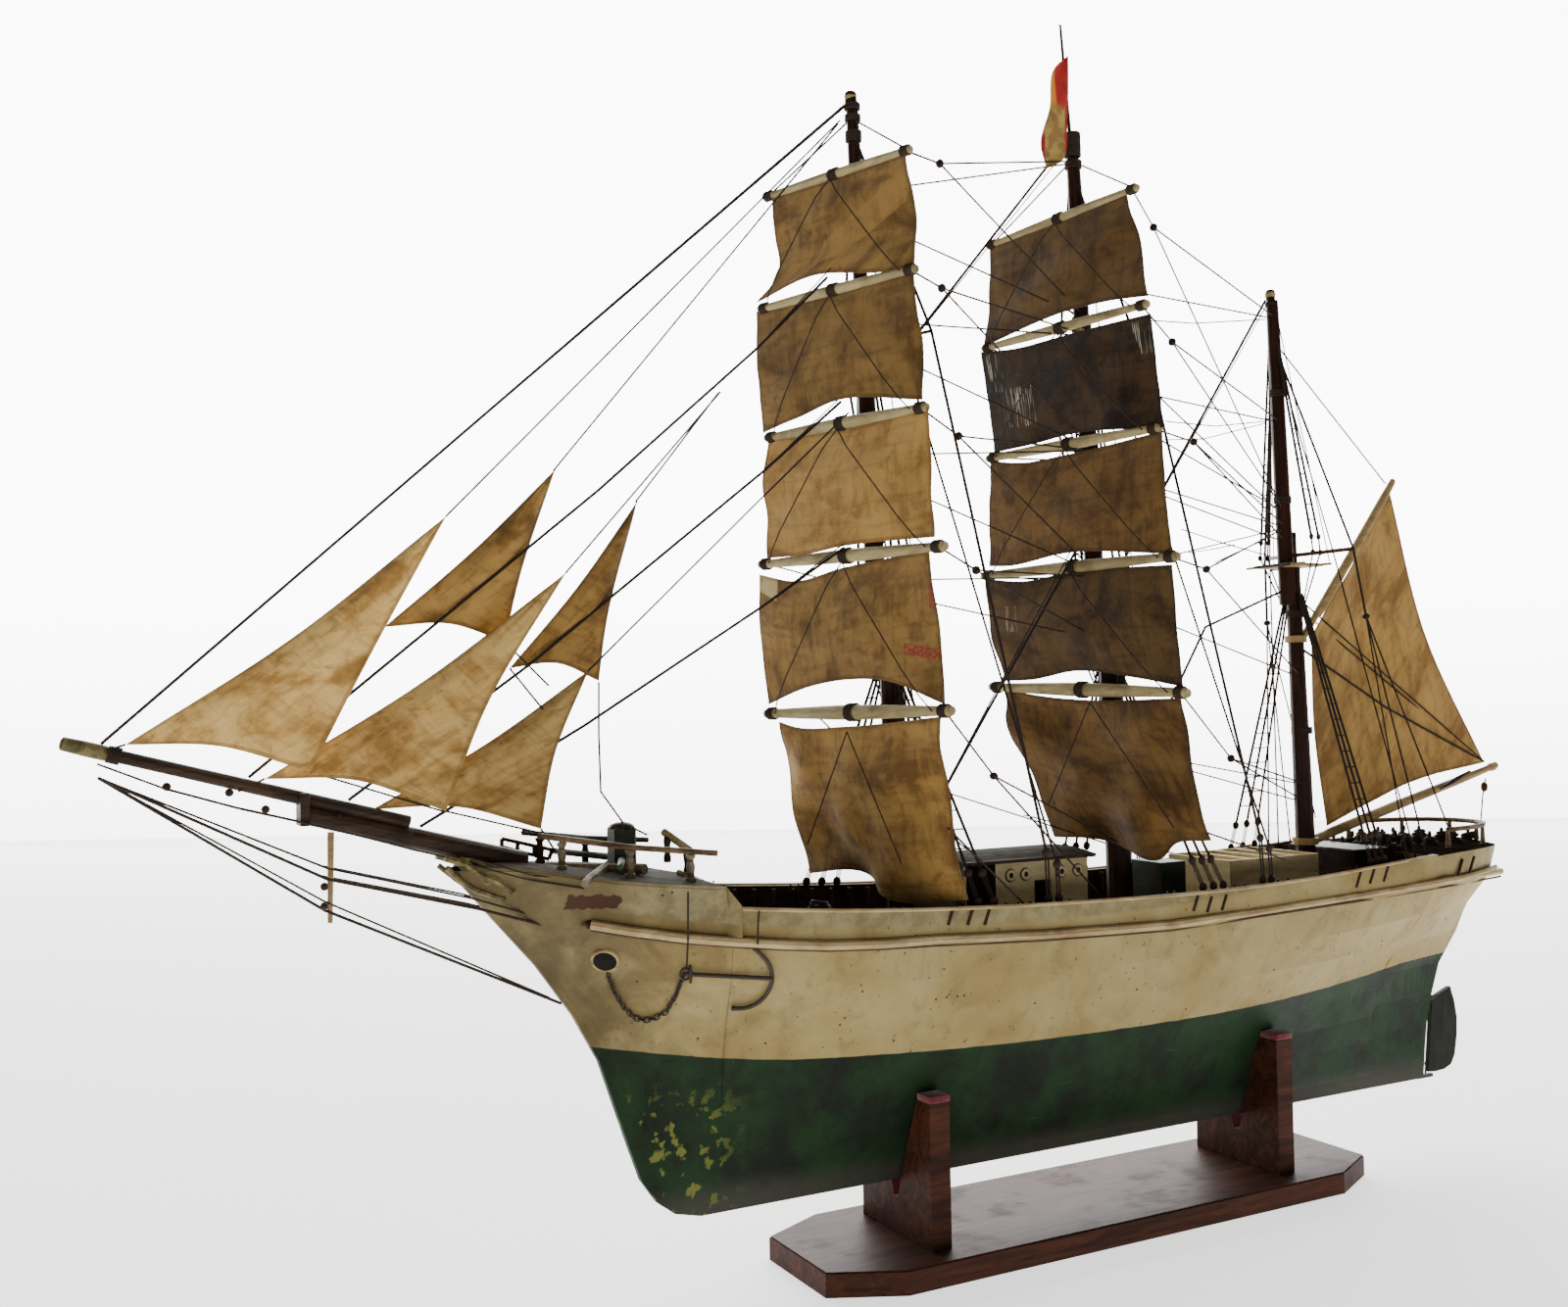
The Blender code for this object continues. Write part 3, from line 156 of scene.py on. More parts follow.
class Finish:
    """A material on the Principled shader, with one method for any node."""

    def __init__(self, name, roughness=0.6, metallic=0.0, gleam=0.08):
        self.material = bpy.data.materials.new(name)
        self.material.use_nodes = True
        self.tree = self.material.node_tree
        self.shader = self.tree.nodes["Principled BSDF"]
        self.shader.inputs["Roughness"].default_value = roughness
        self.shader.inputs["Metallic"].default_value = metallic
        self.shader.inputs["Specular IOR Level"].default_value = gleam
        self.place = self.node("ShaderNodeTexCoord").outputs["Object"]

    def node(self, kind, settings=None, **sockets):
        """A node of a type, with its settings, then the values or links of its sockets."""
        made = self.tree.nodes.new(kind)
        for key, value in (settings or {}).items():
            if key == "stops":
                ramp = made.color_ramp
                while len(ramp.elements) < len(value):
                    ramp.elements.new(0.5)
                for element, (position, colour) in zip(ramp.elements, value):
                    element.position = position
                    element.color = (*colour, 1.0)
            else:
                setattr(made, key, value)
        for key, value in sockets.items():
            numbered = key[0] == "i" and key[1:].isdigit()
            slot = made.inputs[int(key[1:]) if numbered else key]
            if isinstance(value, Value):
                self.tree.links.new(value.socket, slot)
            elif isinstance(value, bpy.types.NodeSocket):
                self.tree.links.new(value, slot)
            else:
                slot.default_value = value
        return made

    def value(self, socket):
        return Value(self.tree, socket)

    def axis(self):
        """The three object coordinates."""
        parts = self.node("ShaderNodeSeparateXYZ", Vector=self.place)
        return [self.value(out) for out in parts.outputs]

    def layer(self, name):
        """The coordinates of the piece's own UV map."""
        made = self.node("ShaderNodeUVMap", {"uv_map": name})
        parts = self.node("ShaderNodeSeparateXYZ", Vector=made.outputs[0])
        return self.value(parts.outputs[0]), self.value(parts.outputs[1]), made.outputs[0]

    def stretched(self, scale, place=None):
        return self.node("ShaderNodeMapping", Vector=place or self.place, Scale=scale).outputs[0]

    def noise(self, scale, detail=3.0, roughness=0.55, place=None, distortion=0.0):
        made = self.node("ShaderNodeTexNoise", Vector=place or self.place, Scale=scale, Detail=detail,
                         Roughness=roughness, Distortion=distortion)
        return self.value(made.outputs["Fac"])

    def step(self, value, low, high):
        """0 below low and 1 above high, smooth between them."""
        made = self.node("ShaderNodeMapRange", {"interpolation_type": "SMOOTHSTEP"}, Value=value, **{
            "From Min": low, "From Max": high})
        return self.value(made.outputs[0])

    def mix(self, share, low, high):
        made = self.node("ShaderNodeMix", {"data_type": "RGBA"}, i0=share,
                         i6=low if not isinstance(low, tuple) else (*low, 1.0),
                         i7=high if not isinstance(high, tuple) else (*high, 1.0))
        return made.outputs[2]

    def finish(self, colour, height=None, depth=0.0005, roughness=None, strength=0.6):
        self.tree.links.new(colour, self.shader.inputs["Base Color"])
        if height is not None:
            bump = self.node("ShaderNodeBump", Height=height, Distance=depth, Strength=strength)
            self.tree.links.new(bump.outputs[0], self.shader.inputs["Normal"])
        if roughness is not None:
            self.tree.links.new(roughness.socket, self.shader.inputs["Roughness"])
        return self.material


def shade(colour, factor):
    """A colour made darker or lighter."""
    return tuple(c * factor for c in colour)


# Finishes

WATERLINE = 0.2175
PLANK_WIDTH = 0.0065
# Stretch of the grain on small parts, which run every way
EVEN_GRAIN = (60.0, 60.0, 60.0)
FINE_GRAIN = (90.0, 90.0, 90.0)


def hull_paint(look):
    """Aged cream topsides over green bottom paint, with stains, dirt, painted shade towards the bow and a hand-cut
    waterline.
    """
    f = Finish("hull_paint", 0.42, gleam=0.10)
    x, _, z = f.axis()
    fore = (-0.38 - x).above(0.0) ** 1.5 * 0.203
    after = ((x - 0.05) / 0.43).above(0.0).below(1.0)
    waterline = WATERLINE + (x - 0.02).below(0.0) ** 2.0 * 0.05 + fore + after * after * 0.0165
    ragged = f.noise(60.0, 2.0) * 0.0016 - 0.0008
    bottom = 1.0 - f.step(z - waterline + ragged, -0.0005, 0.0005)
    blotch = f.noise(9.0, 5.0, 0.62)
    cloudy = f.noise(24.0, 4.0, 0.6, distortion=0.6)
    streaks = f.noise(1.0, 4.0, 0.6, place=f.stretched((60.0, 60.0, 5.0)))
    cream = f.mix(f.step(blotch, 0.35, 0.66), tuple(look.cream), tuple(look.cream_aged))
    cream = f.mix(f.step(cloudy, 0.48, 0.78) * 0.55, cream, tuple(look.cream_stain))
    cream = f.mix(f.step(streaks, 0.55, 0.80) * 0.40, cream, shade(look.cream_stain, 0.75))
    # Painted shade: the cream darkens in clouds towards the bow.
    painted_bow_shade = f.step((-0.36 - x), 0.0, 0.26) * 0.80
    cream = f.mix(painted_bow_shade * f.step(cloudy, 0.20, 0.66), cream, shade(look.cream_stain, 0.50))
    grimy_stem = f.step(-0.50 - x, 0.0, 0.15) * (f.step(blotch, 0.30, 0.60) * 0.5 + 0.4)
    cream = f.mix(grimy_stem, cream, (0.070, 0.054, 0.024))
    specks = f.step(f.noise(170.0, 1.0), 0.70, 0.76) * 0.75
    cream = f.mix(specks, cream, (0.10, 0.06, 0.035))
    under_rail = f.step(z, 0.345, 0.372) * f.step(f.noise(30.0, 3.0), 0.35, 0.7) * 0.35
    cream = f.mix(under_rail, cream, shade(look.cream_stain, 0.6))
    green = f.mix(f.step(f.noise(14.0, 5.0, 0.65), 0.38, 0.66), tuple(look.green), tuple(look.green_dark))
    green = f.mix(f.step(streaks, 0.50, 0.75) * 0.45, green, shade(look.green_dark, 0.6))
    dirty = 1.0 - f.step(z + ragged * 6.0, 0.084, 0.118)
    green = f.mix(dirty * 0.75, green, (0.055, 0.05, 0.04))
    flaked = f.step(-0.42 - x, 0.0, 0.06) * f.step(f.noise(75.0, 3.0), 0.56, 0.62)
    flaked = flaked * (1.0 - f.step(z, 0.16, 0.22))
    green = f.mix(flaked * 0.8, green, (0.16, 0.17, 0.03))
    scuffs = f.step(f.noise(1.0, 3.0, place=f.stretched((25.0, 25.0, 120.0))), 0.69, 0.78) * 0.4
    green = f.mix(scuffs, green, (0.05, 0.075, 0.045))
    colour = f.mix(bottom, cream, green)
    rail_zone = f.step(z - 0.345 - (x + 0.1) ** 2.0 * 0.16, 0.0, 0.004) * f.step(x, -0.60, -0.55)
    greyed = f.mix(f.step(f.noise(46.0, 6.0, 0.68), 0.38, 0.62), (0.27, 0.245, 0.135), (0.115, 0.105, 0.058))
    colour = f.mix(rail_zone * 0.50 * (1.0 - bottom), colour, greyed)
    rust = f.step(f.noise(1.0, 3.0, place=f.stretched((110.0, 110.0, 9.0))), 0.62, 0.72)
    rust = rust * f.step(z, 0.30, 0.40)
    colour = f.mix(rust * 0.5 * (1.0 - bottom), colour, (0.17, 0.055, 0.018))
    frayed = f.noise(150.0, 3.0) * 0.008 - 0.004
    worn = f.step(x + frayed, -0.621, -0.620) * (1.0 - f.step(x - frayed, -0.580, -0.579))
    worn = worn * f.step(z + frayed, 0.3885, 0.3890) * (1.0 - f.step(z - frayed, 0.4015, 0.4020))
    colour = f.mix(worn, colour, (0.040, 0.015, 0.008))
    height = f.noise(220.0, 3.0) * 0.4 + cloudy * 0.6 + streaks * 0.3
    rough = 0.46 + cloudy * 0.22 + specks * 0.2
    return f.finish(colour, height, 0.0009, rough)


def trim_paint(look):
    """The same cream paint on rails and houses, worn through at places."""
    f = Finish("trim_paint", 0.5)
    cloudy = f.noise(45.0, 5.0, 0.6, distortion=0.5)
    colour = f.mix(f.step(cloudy, 0.35, 0.68), tuple(look.cream), tuple(look.cream_stain))
    dirt = f.step(f.noise(120.0, 4.0), 0.54, 0.70) * 0.7
    colour = f.mix(dirt, colour, (0.10, 0.07, 0.045))
    return f.finish(colour, cloudy + f.noise(300.0, 2.0) * 0.4, 0.0006, 0.38 + dirt * 0.3)


def wood(name, light, dark, along, roughness=0.4, dirt=(0.02, 0.012, 0.008), gloss=0.0, worn=0.35):
    """Straight-grained wood, bare, stained or painted; along gives the stretch of the grain on each axis."""
    f = Finish(name, roughness)
    grain = f.noise(1.0, 6.0, 0.6, place=f.stretched(along), distortion=1.2)
    fine = f.noise(1.0, 3.0, 0.6, place=f.stretched(tuple(a * 5 for a in along)))
    colour = f.mix(f.step(grain, 0.30, 0.72), dark, light)
    colour = f.mix(f.step(fine, 0.45, 0.75) * 0.4, colour, shade(dark, 0.7))
    dull = f.step(f.noise(22.0, 4.0, 0.62), 0.50, 0.72) * worn
    colour = f.mix(dull, colour, dirt)
    f.shader.inputs["Coat Weight"].default_value = gloss
    f.shader.inputs["Coat Roughness"].default_value = 0.22
    return f.finish(colour, grain * 0.7 + fine * 0.5, 0.0005, roughness + dull * 0.3)


def deck_paint(tone, gleam=0.02):
    """Grey painted planks with dark seams, rubbed and dirty."""
    f = Finish("deck_paint", 0.85, gleam=gleam)
    across = (f.axis()[1] / PLANK_WIDTH).part()
    seam = 1.0 - f.step(across.math("PINGPONG", across, 0.5), 0.0, 0.09)
    cloudy = f.noise(40.0, 5.0, 0.62)
    colour = f.mix(f.step(cloudy, 0.32, 0.70), shade((0.215, 0.190, 0.140), tone),
                   shade((0.085, 0.070, 0.048), tone))
    colour = f.mix(seam * 0.7, colour, (0.02, 0.016, 0.012))
    return f.finish(colour, cloudy * 0.6 - seam, 0.0005)


def green_paint():
    """The dull green of the bitts, the locker and the deckhouse's foot."""
    f = Finish("green_paint", 0.6, gleam=0.08)
    cloudy = f.noise(60.0, 4.0)
    colour = f.mix(f.step(cloudy, 0.35, 0.7), (0.022, 0.036, 0.020), (0.045, 0.045, 0.028))
    return f.finish(colour, cloudy, 0.0004, 0.35 + cloudy * 0.3)


def old_iron():
    """Blackened iron with rust."""
    f = Finish("old_iron", 0.55, 0.45)
    rust = f.step(f.noise(160.0, 4.0, 0.65), 0.46, 0.64)
    colour = f.mix(rust, (0.045, 0.040, 0.034), (0.085, 0.045, 0.025))
    return f.finish(colour, f.noise(320.0, 3.0), 0.0004, 0.45 + rust * 0.35)


def cordage(name, colour):
    """Twisted cord in one dark colour."""
    f = Finish(name, 0.8)
    fibre = f.noise(900.0, 2.0)
    mixed = f.mix(f.step(fibre, 0.35, 0.7), colour, shade(colour, 0.5))
    return f.finish(mixed, fibre, 0.0002)


def velvet():
    """Worn red pile in the cradles' arms."""
    f = Finish("red_velvet", 0.95)
    nap = f.noise(260.0, 3.0)
    f.shader.inputs["Sheen Weight"].default_value = 0.5
    return f.finish(f.mix(f.step(nap, 0.35, 0.7), (0.16, 0.012, 0.018), (0.07, 0.006, 0.01)), nap, 0.0008)


def sail_linen(name, tone, seed, dark=0.0, marks=(), folds=1.0):
    """Old linen: a fine weave, a creased check, brown blotches and darker hems."""
    f = Finish(name, 0.92)
    u, v, layer = f.layer("cloth")
    drift = f.node("ShaderNodeMapping", Vector=layer, Location=(seed * 3.7, seed * 1.9, 0.0)).outputs[0]
    big = f.noise(17.0, 5.0, 0.62, place=drift, distortion=0.5)
    fine = f.noise(75.0, 4.0, 0.6, place=drift)
    warp = f.noise(1.0, 3.0, 0.55, place=f.stretched((120.0, 16.0, 1.0), drift))
    weft = f.noise(1.0, 3.0, 0.55, place=f.stretched((16.0, 120.0, 1.0), drift))
    light, base, deep = tone
    clouds = f.noise(38.0, 5.0, 0.65, place=drift, distortion=0.8)
    colour = f.mix(f.step(big, 0.38, 0.62), base, light)
    colour = f.mix(f.step(1.0 - big, 0.50, 0.68) * (0.70 + dark * 0.3), colour, deep)
    colour = f.mix(f.step(clouds, 0.50, 0.68) * 0.55, colour, deep)
    colour = f.mix(f.step(1.0 - clouds, 0.55, 0.70) * 0.40, colour, light)
    pull = [f.node("ShaderNodeMapping", Vector=drift, Rotation=(0, 0, turn), Scale=(65.0, 8.0, 1.0)).outputs[0]
            for turn in (0.65, -0.75)]
    creases = f.noise(1.0, 3.0, place=pull[0]).above(f.noise(1.0, 3.0, place=pull[1]))
    colour = f.mix(f.step(creases, 0.60, 0.74) * (0.6 * folds), colour, light)
    check = f.step(warp, 0.50, 0.66) * 0.5 + f.step(weft, 0.50, 0.66) * 0.5
    colour = f.mix(check * 0.55, colour, shade(deep, 0.9))
    bright = f.step(1.0 - warp, 0.58, 0.68) * 0.5 + f.step(1.0 - weft, 0.58, 0.68) * 0.5
    colour = f.mix(bright * 0.45, colour, light)
    for low_u, high_u, low_v, high_v, slope, kind in marks:
        slant = v - (u - low_u) * slope
        area = f.step(u, low_u - 0.001, low_u + 0.001) * (1.0 - f.step(u, high_u - 0.001, high_u + 0.001))
        area = area * f.step(slant, low_v - 0.001, low_v + 0.001)
        area = area * (1.0 - f.step(slant, high_v - 0.001, high_v + 0.001))
        if kind == "patch":
            colour = f.mix(area * f.step(fine, 0.30, 0.36), colour, (0.46, 0.36, 0.16))
        elif kind == "faded":
            colour = f.mix(area * f.step(creases, 0.30, 0.60) * 0.7, colour, shade(light, 1.15))
        elif kind == "darn":
            stitches = f.step(f.noise(260.0, 3.0, place=drift), 0.42, 0.52)
            colour = f.mix(area * stitches, colour, (0.24, 0.030, 0.022))
        else:
            thread_gap = f.noise(1.0, 1.0, place=f.stretched((900.0, 25.0, 1.0), drift))
            colour = f.mix(area * f.step(thread_gap, 0.60, 0.66), colour, (0.50, 0.46, 0.36))
    colour = f.mix(f.step(fine, 0.55, 0.78) * 0.35, colour, shade(deep, 0.7))
    edge = f.value(f.node("ShaderNodeAttribute", {"attribute_name": "edge"}).outputs["Fac"])
    hem = 1.0 - f.step(edge, 0.0025, 0.0050)
    colour = f.mix(hem * 0.45, colour, shade(deep, 0.7))
    thread, cross = (f.value(f.node("ShaderNodeTexWave", {"wave_type": "BANDS", "bands_direction": way},
                                    Vector=layer, Scale=420.0).outputs["Fac"]) for way in "XY")
    seam = 1.0 - f.step((edge - 0.0042).size(), 0.0001, 0.0007)
    height = (thread + cross) * 0.10 + fine * 0.4 + check * 0.3 + creases * (1.6 * folds) - seam * 0.5
    f.shader.inputs["Sheen Weight"].default_value = 0.15
    return f.finish(colour, height, 0.0009)


# Shape tools

def deselect():
    if bpy.context.object and bpy.context.object.mode != "OBJECT":
        bpy.ops.object.mode_set(mode="OBJECT")
    bpy.ops.object.select_all(action="DESELECT")


def pick(obj):
    """Select one object alone."""
    deselect()
    obj.select_set(True)
    bpy.context.view_layer.objects.active = obj


def fix_place():
    """Move the selected object's place, turn and scale into its mesh."""
    bpy.ops.object.transform_apply(location=True, rotation=True, scale=True)


def linked(name, data):
    """A new object of a mesh or a curve, alone selected."""
    obj = bpy.data.objects.new(name, data)
    bpy.context.scene.collection.objects.link(obj)
    pick(obj)
    return obj


def thickened(obj, thick):
    """Give an open sheet its thickness, both ways."""
    solid = obj.modifiers.new("thick", "SOLIDIFY")
    solid.thickness = thick
    solid.offset = 0.0
    bpy.ops.object.modifier_apply(modifier="thick")


def pointed(place, along):
    """The matrix that puts a modelled piece at a place, its Z axis turned along a direction."""
    return Matrix.Translation(place) @ Vector(along).to_track_quat("Z", "Y").to_matrix().to_4x4()


def twin_of(model, place, along):
    """A copy of a modelled piece with its own mesh, at a place and along a direction."""
    twin = model.copy()
    twin.data = model.data.copy()
    bpy.context.scene.collection.objects.link(twin)
    twin.matrix_world = pointed(place, along)
    return twin


def up(rise):
    """An upward step."""
    return Vector((0, 0, rise))


def same(place):
    """The port side's own place."""
    return place


def mirrored(place):
    """The same place on the starboard side."""
    return Vector((place[0], -place[1], place[2]))


FLIPS = (same, mirrored)


def smooth_angle(obj, degrees):
    """Shade a carried node smooth where its faces nearly meet."""
    pick(obj)
    bpy.ops.object.shade_smooth_by_angle(angle=math.radians(degrees))


def settled(obj, name, material, body="ship"):
    """Finish a piece: its place goes in its mesh, and it gets its name, its material and its body."""
    pick(obj)
    if obj.type == "CURVE":
        bpy.ops.object.convert(target="MESH")
    fix_place()
    obj.name = name
    obj.data.name = name
    obj.data.materials.clear()
    obj.data.materials.append(material)
    bpy.ops.object.shade_smooth_by_angle(angle=math.radians(40))
    if body:
        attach(obj, body)
    return obj


def joined(objects):
    """Join copies into one piece."""
    deselect()
    for obj in objects:
        obj.select_set(True)
    bpy.context.view_layer.objects.active = objects[0]
    if len(objects) > 1:
        bpy.ops.object.join()
    return objects[0]


def round_runs(name, runs, roundness):
    """An object of round rods along runs of (points, radius)."""
    curve = bpy.data.curves.new(name, "CURVE")
    curve.dimensions = "3D"
    curve.bevel_depth = 1.0
    curve.bevel_resolution = roundness
    curve.use_fill_caps = True
    for points, radius in runs:
        spline = curve.splines.new("POLY")
        spline.points.add(len(points) - 1)
        for knot, place in zip(spline.points, points):
            knot.co = (*place, 1.0)
            knot.radius = radius
    return linked(name, curve)


def lines(name, runs, material, body="ship"):
    """Cords pulled tight: one piece from runs of (points, radius)."""
    return settled(round_runs(name, runs, 1), name, material, body)


def strip(points, radius):
    """A half-sunk round moulding along points."""
    return round_runs("strip", [(points, radius)], 2)


def plate(corners, thick):
    """A thin plate between corners."""
    mesh = bpy.data.meshes.new("plate")
    mesh.from_pydata([tuple(c) for c in corners], [], [tuple(range(len(corners)))])
    obj = linked("plate", mesh)
    thickened(obj, thick)
    return obj


def both_sides(name, make, material):
    """A port piece and its mirror image, as two pieces."""
    return [settled(make(flip), name + "_" + tag, material)
            for flip, tag in zip(FLIPS, ("port", "starboard"))]


def turned(profile, a, b, steps=12):
    """A round piece turned to a profile of (share of the way from a to b, radius)."""
    a, b = Vector(a), Vector(b)
    deselect()
    bpy.ops.mesh.primitive_circle_add(vertices=steps, radius=1.0, fill_type="NGON", location=(0, 0, 0))
    obj = bpy.context.object
    mesh = bmesh.new()
    turns = [2 * math.pi * k / steps for k in range(steps)]
    rings = [[mesh.verts.new((r * math.cos(turn), r * math.sin(turn), share * (b - a).length)) for turn in turns]
             for share, r in profile]
    for low, high in zip(rings, rings[1:]):
        for k in range(steps):
            mesh.faces.new((low[k], low[(k + 1) % steps], high[(k + 1) % steps], high[k]))
    mesh.faces.new(rings[0][::-1])
    mesh.faces.new(rings[-1])
    mesh.to_mesh(obj.data)
    mesh.free()
    obj.location = a
    obj.rotation_euler = (b - a).to_track_quat("Z", "Y").to_euler()
    pick(obj)
    fix_place()
    return obj


def bead(place, radius, squash=1.0, along=(0, 0, 1)):
    """A small round block or deadeye."""
    deselect()
    bpy.ops.mesh.primitive_uv_sphere_add(segments=10, ring_count=6, radius=radius, location=place)
    obj = bpy.context.object
    obj.scale = (1, 1, squash)
    obj.rotation_euler = Vector(along).to_track_quat("Z", "Y").to_euler()
    fix_place()
    return obj


def block(low, high, bevel=0.0005):
    """A board or box between two corners, with eased edges."""
    low, high = Vector(low), Vector(high)
    deselect()
    bpy.ops.mesh.primitive_cube_add(size=1.0, location=(low + high) / 2)
    obj = bpy.context.object
    obj.scale = high - low
    fix_place()
    bpy.ops.object.mode_set(mode="EDIT")
    bpy.ops.mesh.select_all(action="SELECT")
    bpy.ops.mesh.bevel(offset=bevel, segments=2)
    bpy.ops.object.mode_set(mode="OBJECT")
    return obj


def hoop(centre, radius, wire, axis, steps=16):
    """A ring of wire or rope round an axis."""
    deselect()
    bpy.ops.mesh.primitive_torus_add(major_segments=steps, minor_segments=6, major_radius=radius,
                                     minor_radius=wire, location=centre,
                                     rotation=Vector(axis).to_track_quat("Z", "Y").to_euler())
    obj = bpy.context.object
    fix_place()
    return obj


# Places read from the frame

def points_of(node):
    """The vertices of a carried piece."""
    data = NODES[node].data
    co = np.zeros(len(data.vertices) * 3)
    data.vertices.foreach_get("co", co)
    return co.reshape(-1, 3)


def spar_ends(node, axis, reach=0.004):
    """Middles of the two ends of a straight spar, lowest coordinate first."""
    co = points_of(node)
    low, high = co[:, axis].min(), co[:, axis].max()
    return (Vector(co[co[:, axis] < low + reach].mean(0)), Vector(co[co[:, axis] > high - reach].mean(0)))


MASTS = ("fore", "main", "mizzen")
TIERS = ("royal", "topgallant", "upper_topsail", "lower_topsail", "course")
ARMS = {(m, t): spar_ends(f"{m}_{t}_yard", 1) for m in ("fore", "main") for t in TIERS}
TOPMASTS = {m: spar_ends(m + "_topmast", 2, 0.002) for m in MASTS}
LOWER = {m: spar_ends(m + "_lower_mast", 2, 0.002) for m in MASTS}
FOOT_RAKE = {"fore": -0.031, "main": -0.0331, "mizzen": -0.0307}
PLATFORM_Z = {"fore": 0.624, "main": 0.622, "mizzen": 0.722}


def mast_at(mast, z):
    """The middle of a mast at a height: the topmast above the platform, else the lower mast."""
    low = TOPMASTS[mast][0] if z > PLATFORM_Z[mast] + 0.01 else LOWER[mast][0]
    return Vector((low.x + FOOT_RAKE[mast] * (z - low.z), 0, z))


def mast_seen(mast, pixel):
    """The place on a mast beside a pixel where a line meets it."""
    return mast_at(mast, on_middle(pixel).z)


def rail_at(x, side, inset=0.004):
    """The top of the bulwark's cap, drawn in from the middle of its width."""
    co = points_of("bulwark_port" if side < 0 else "bulwark_starboard")
    cap = co[co[:, 2] > 0.3555]
    stations = sorted(set(np.round(cap[:, 0], 3)))
    groups = [cap[np.abs(cap[:, 0] - at) < 0.002] for at in stations]
    height = np.interp(x, stations, [group[:, 2].max() for group in groups])
    width = np.interp(x, stations, [np.abs(group[:, 1]).mean() for group in groups])
    return Vector((x, side * (width - inset), height))


def on_piece(node, pixel, lift=0.0, spare_y=0.0):
    """The place on a carried piece that the photograph shows at a pixel, lifted towards the camera."""
    obj = NODES[node]
    back = obj.matrix_world.inverted()
    hit, place, normal, _ = obj.ray_cast(back @ CAMERA_PLACE, back.to_3x3() @ sight(pixel).normalized())
    if not hit:
        return on_middle(pixel, spare_y)
    return obj.matrix_world @ (place + normal * lift)


def faces_to(node, material, chosen):
    """Give the faces of a carried piece that a test picks (by middle and normal) a second material."""
    data = NODES[node].data
    data.materials.append(material)
    slot = len(data.materials) - 1
    for face in data.polygons:
        if chosen(face.center, face.normal):
            face.material_index = slot


# Sails: outlines as the photograph shows them, in its pixels, starboard edge first
SQUARE = {
    ("fore", "royal"): dict(
        head=((788, 206), (849, 187), (924, 161)),
        foot=((771, 309), (835, 281), (897, 279), (934, 275)),
        star=((792, 246), (795, 276)), port=((934, 220), (935, 250)), tone="mid"),
    ("fore", "topgallant"): dict(
        head=((772, 322), (845, 305), (932, 281)),
        foot=((779, 442), (813, 428), (858, 409), (942, 408)),
        star=((773, 380),), port=((940, 340),), tone="mid"),
    ("fore", "upper_topsail"): dict(
        head=((785, 452), (855, 443), (947, 420)),
        foot=((783, 570), (824, 566), (861, 558), (953, 548)),
        star=((779, 490), (781, 530)), port=((950, 480),), tone="light"),
    ("fore", "lower_topsail"): dict(
        head=((775, 590), (810, 597), (858, 584), (948, 566)),
        foot=((783, 719), (824, 702), (863, 694), (906, 695), (964, 719)),
        star=((777, 650),), port=((955, 610), (960, 670)), tone="mid"),
    ("main", "royal"): dict(
        head=((1010, 250), (1081, 227), (1150, 202)),
        foot=((1004, 354), (1058, 330), (1087, 319), (1130, 308), (1171, 302)),
        star=((1010, 300),), port=((1164, 250),), tone="brown"),
    ("main", "topgallant"): dict(
        head=((1001, 363), (1038, 359), (1072, 350), (1116, 338), (1174, 324)),
        foot=((1014, 462), (1053, 454), (1087, 445), (1186, 436)),
        star=((1008, 410),), port=((1180, 380),), tone="dark"),
    ("main", "upper_topsail"): dict(
        head=((1011, 474), (1041, 476), (1087, 468), (1186, 444)),
        foot=((1009, 578), (1028, 578), (1087, 565), (1196, 565)),
        star=((1010, 520),), port=((1190, 505),), tone="brown"),
    ("main", "lower_topsail"): dict(
        head=((1005, 594), (1043, 597), (1089, 588), (1196, 580)),
        foot=((1026, 695), (1053, 694), (1096, 685), (1162, 692), (1207, 701)),
        star=((1012, 645),), port=((1201, 640),), tone="deep"),
    ("fore", "course"): dict(
        head=((795, 738), (810, 743), (863, 743), (960, 733)),
        foot=((828, 891), (880, 890), (897, 901), (922, 918), (983, 919)),
        star=((800, 775), (812, 820), (821, 859)), port=((962, 781), (973, 859)), tone="mid"),
    ("main", "course"): dict(
        head=((1025, 705), (1072, 713), (1111, 716), (1205, 714)),
        foot=((1078, 854), (1116, 856), (1150, 867), (1186, 877), (1199, 862), (1234, 858)),
        star=((1038, 748), (1070, 824)), port=((1215, 758), (1222, 807)), tone="brown"),
}
COURSE_FOOT_SWING = {"fore": 0.022, "main": 0.018}
COURSE_DROP = 0.18
HEADSAILS = {
    "flying_jib": dict(
        tack=(128, 760), head=(455, 527), clew=(317, 788), luff=((300, 650),), foot=((225, 762),),
        leech=((372, 680),), y=(0.0, -0.018), tone="jib"),
    "jib_topsail_outer": dict(
        tack=(392, 640), head=(566, 480), clew=(515, 655), luff=((485, 560),),
        foot=((460, 637),), leech=((530, 590),), y=(0.004, 0.012), tone="mid"),
    "outer_jib": dict(
        tack=(270, 795), head=(577, 585), clew=(455, 828), luff=((430, 697),), foot=((365, 797),),
        leech=((497, 720),), y=(0.0, -0.018), tone="jib"),
    "jib_topsail_inner": dict(
        tack=(520, 682), head=(650, 512), clew=(611, 695), luff=((590, 598),),
        foot=((568, 677),), leech=((618, 640),), y=(0.004, 0.012), tone="mid"),
    "inner_jib": dict(
        tack=(380, 826), head=(600, 685), clew=(552, 846), luff=((495, 760),), foot=((470, 824),),
        leech=((566, 770),), y=(0.0, -0.012), tone="jib"),
}
SPANKER = dict(tack=(1354, 843), throat=(1338, 650), peak=(1418, 503), clew=(1514, 778),
               luff=((1341, 745),), head=((1380, 574),), leech=((1455, 650),), foot=((1432, 801),))
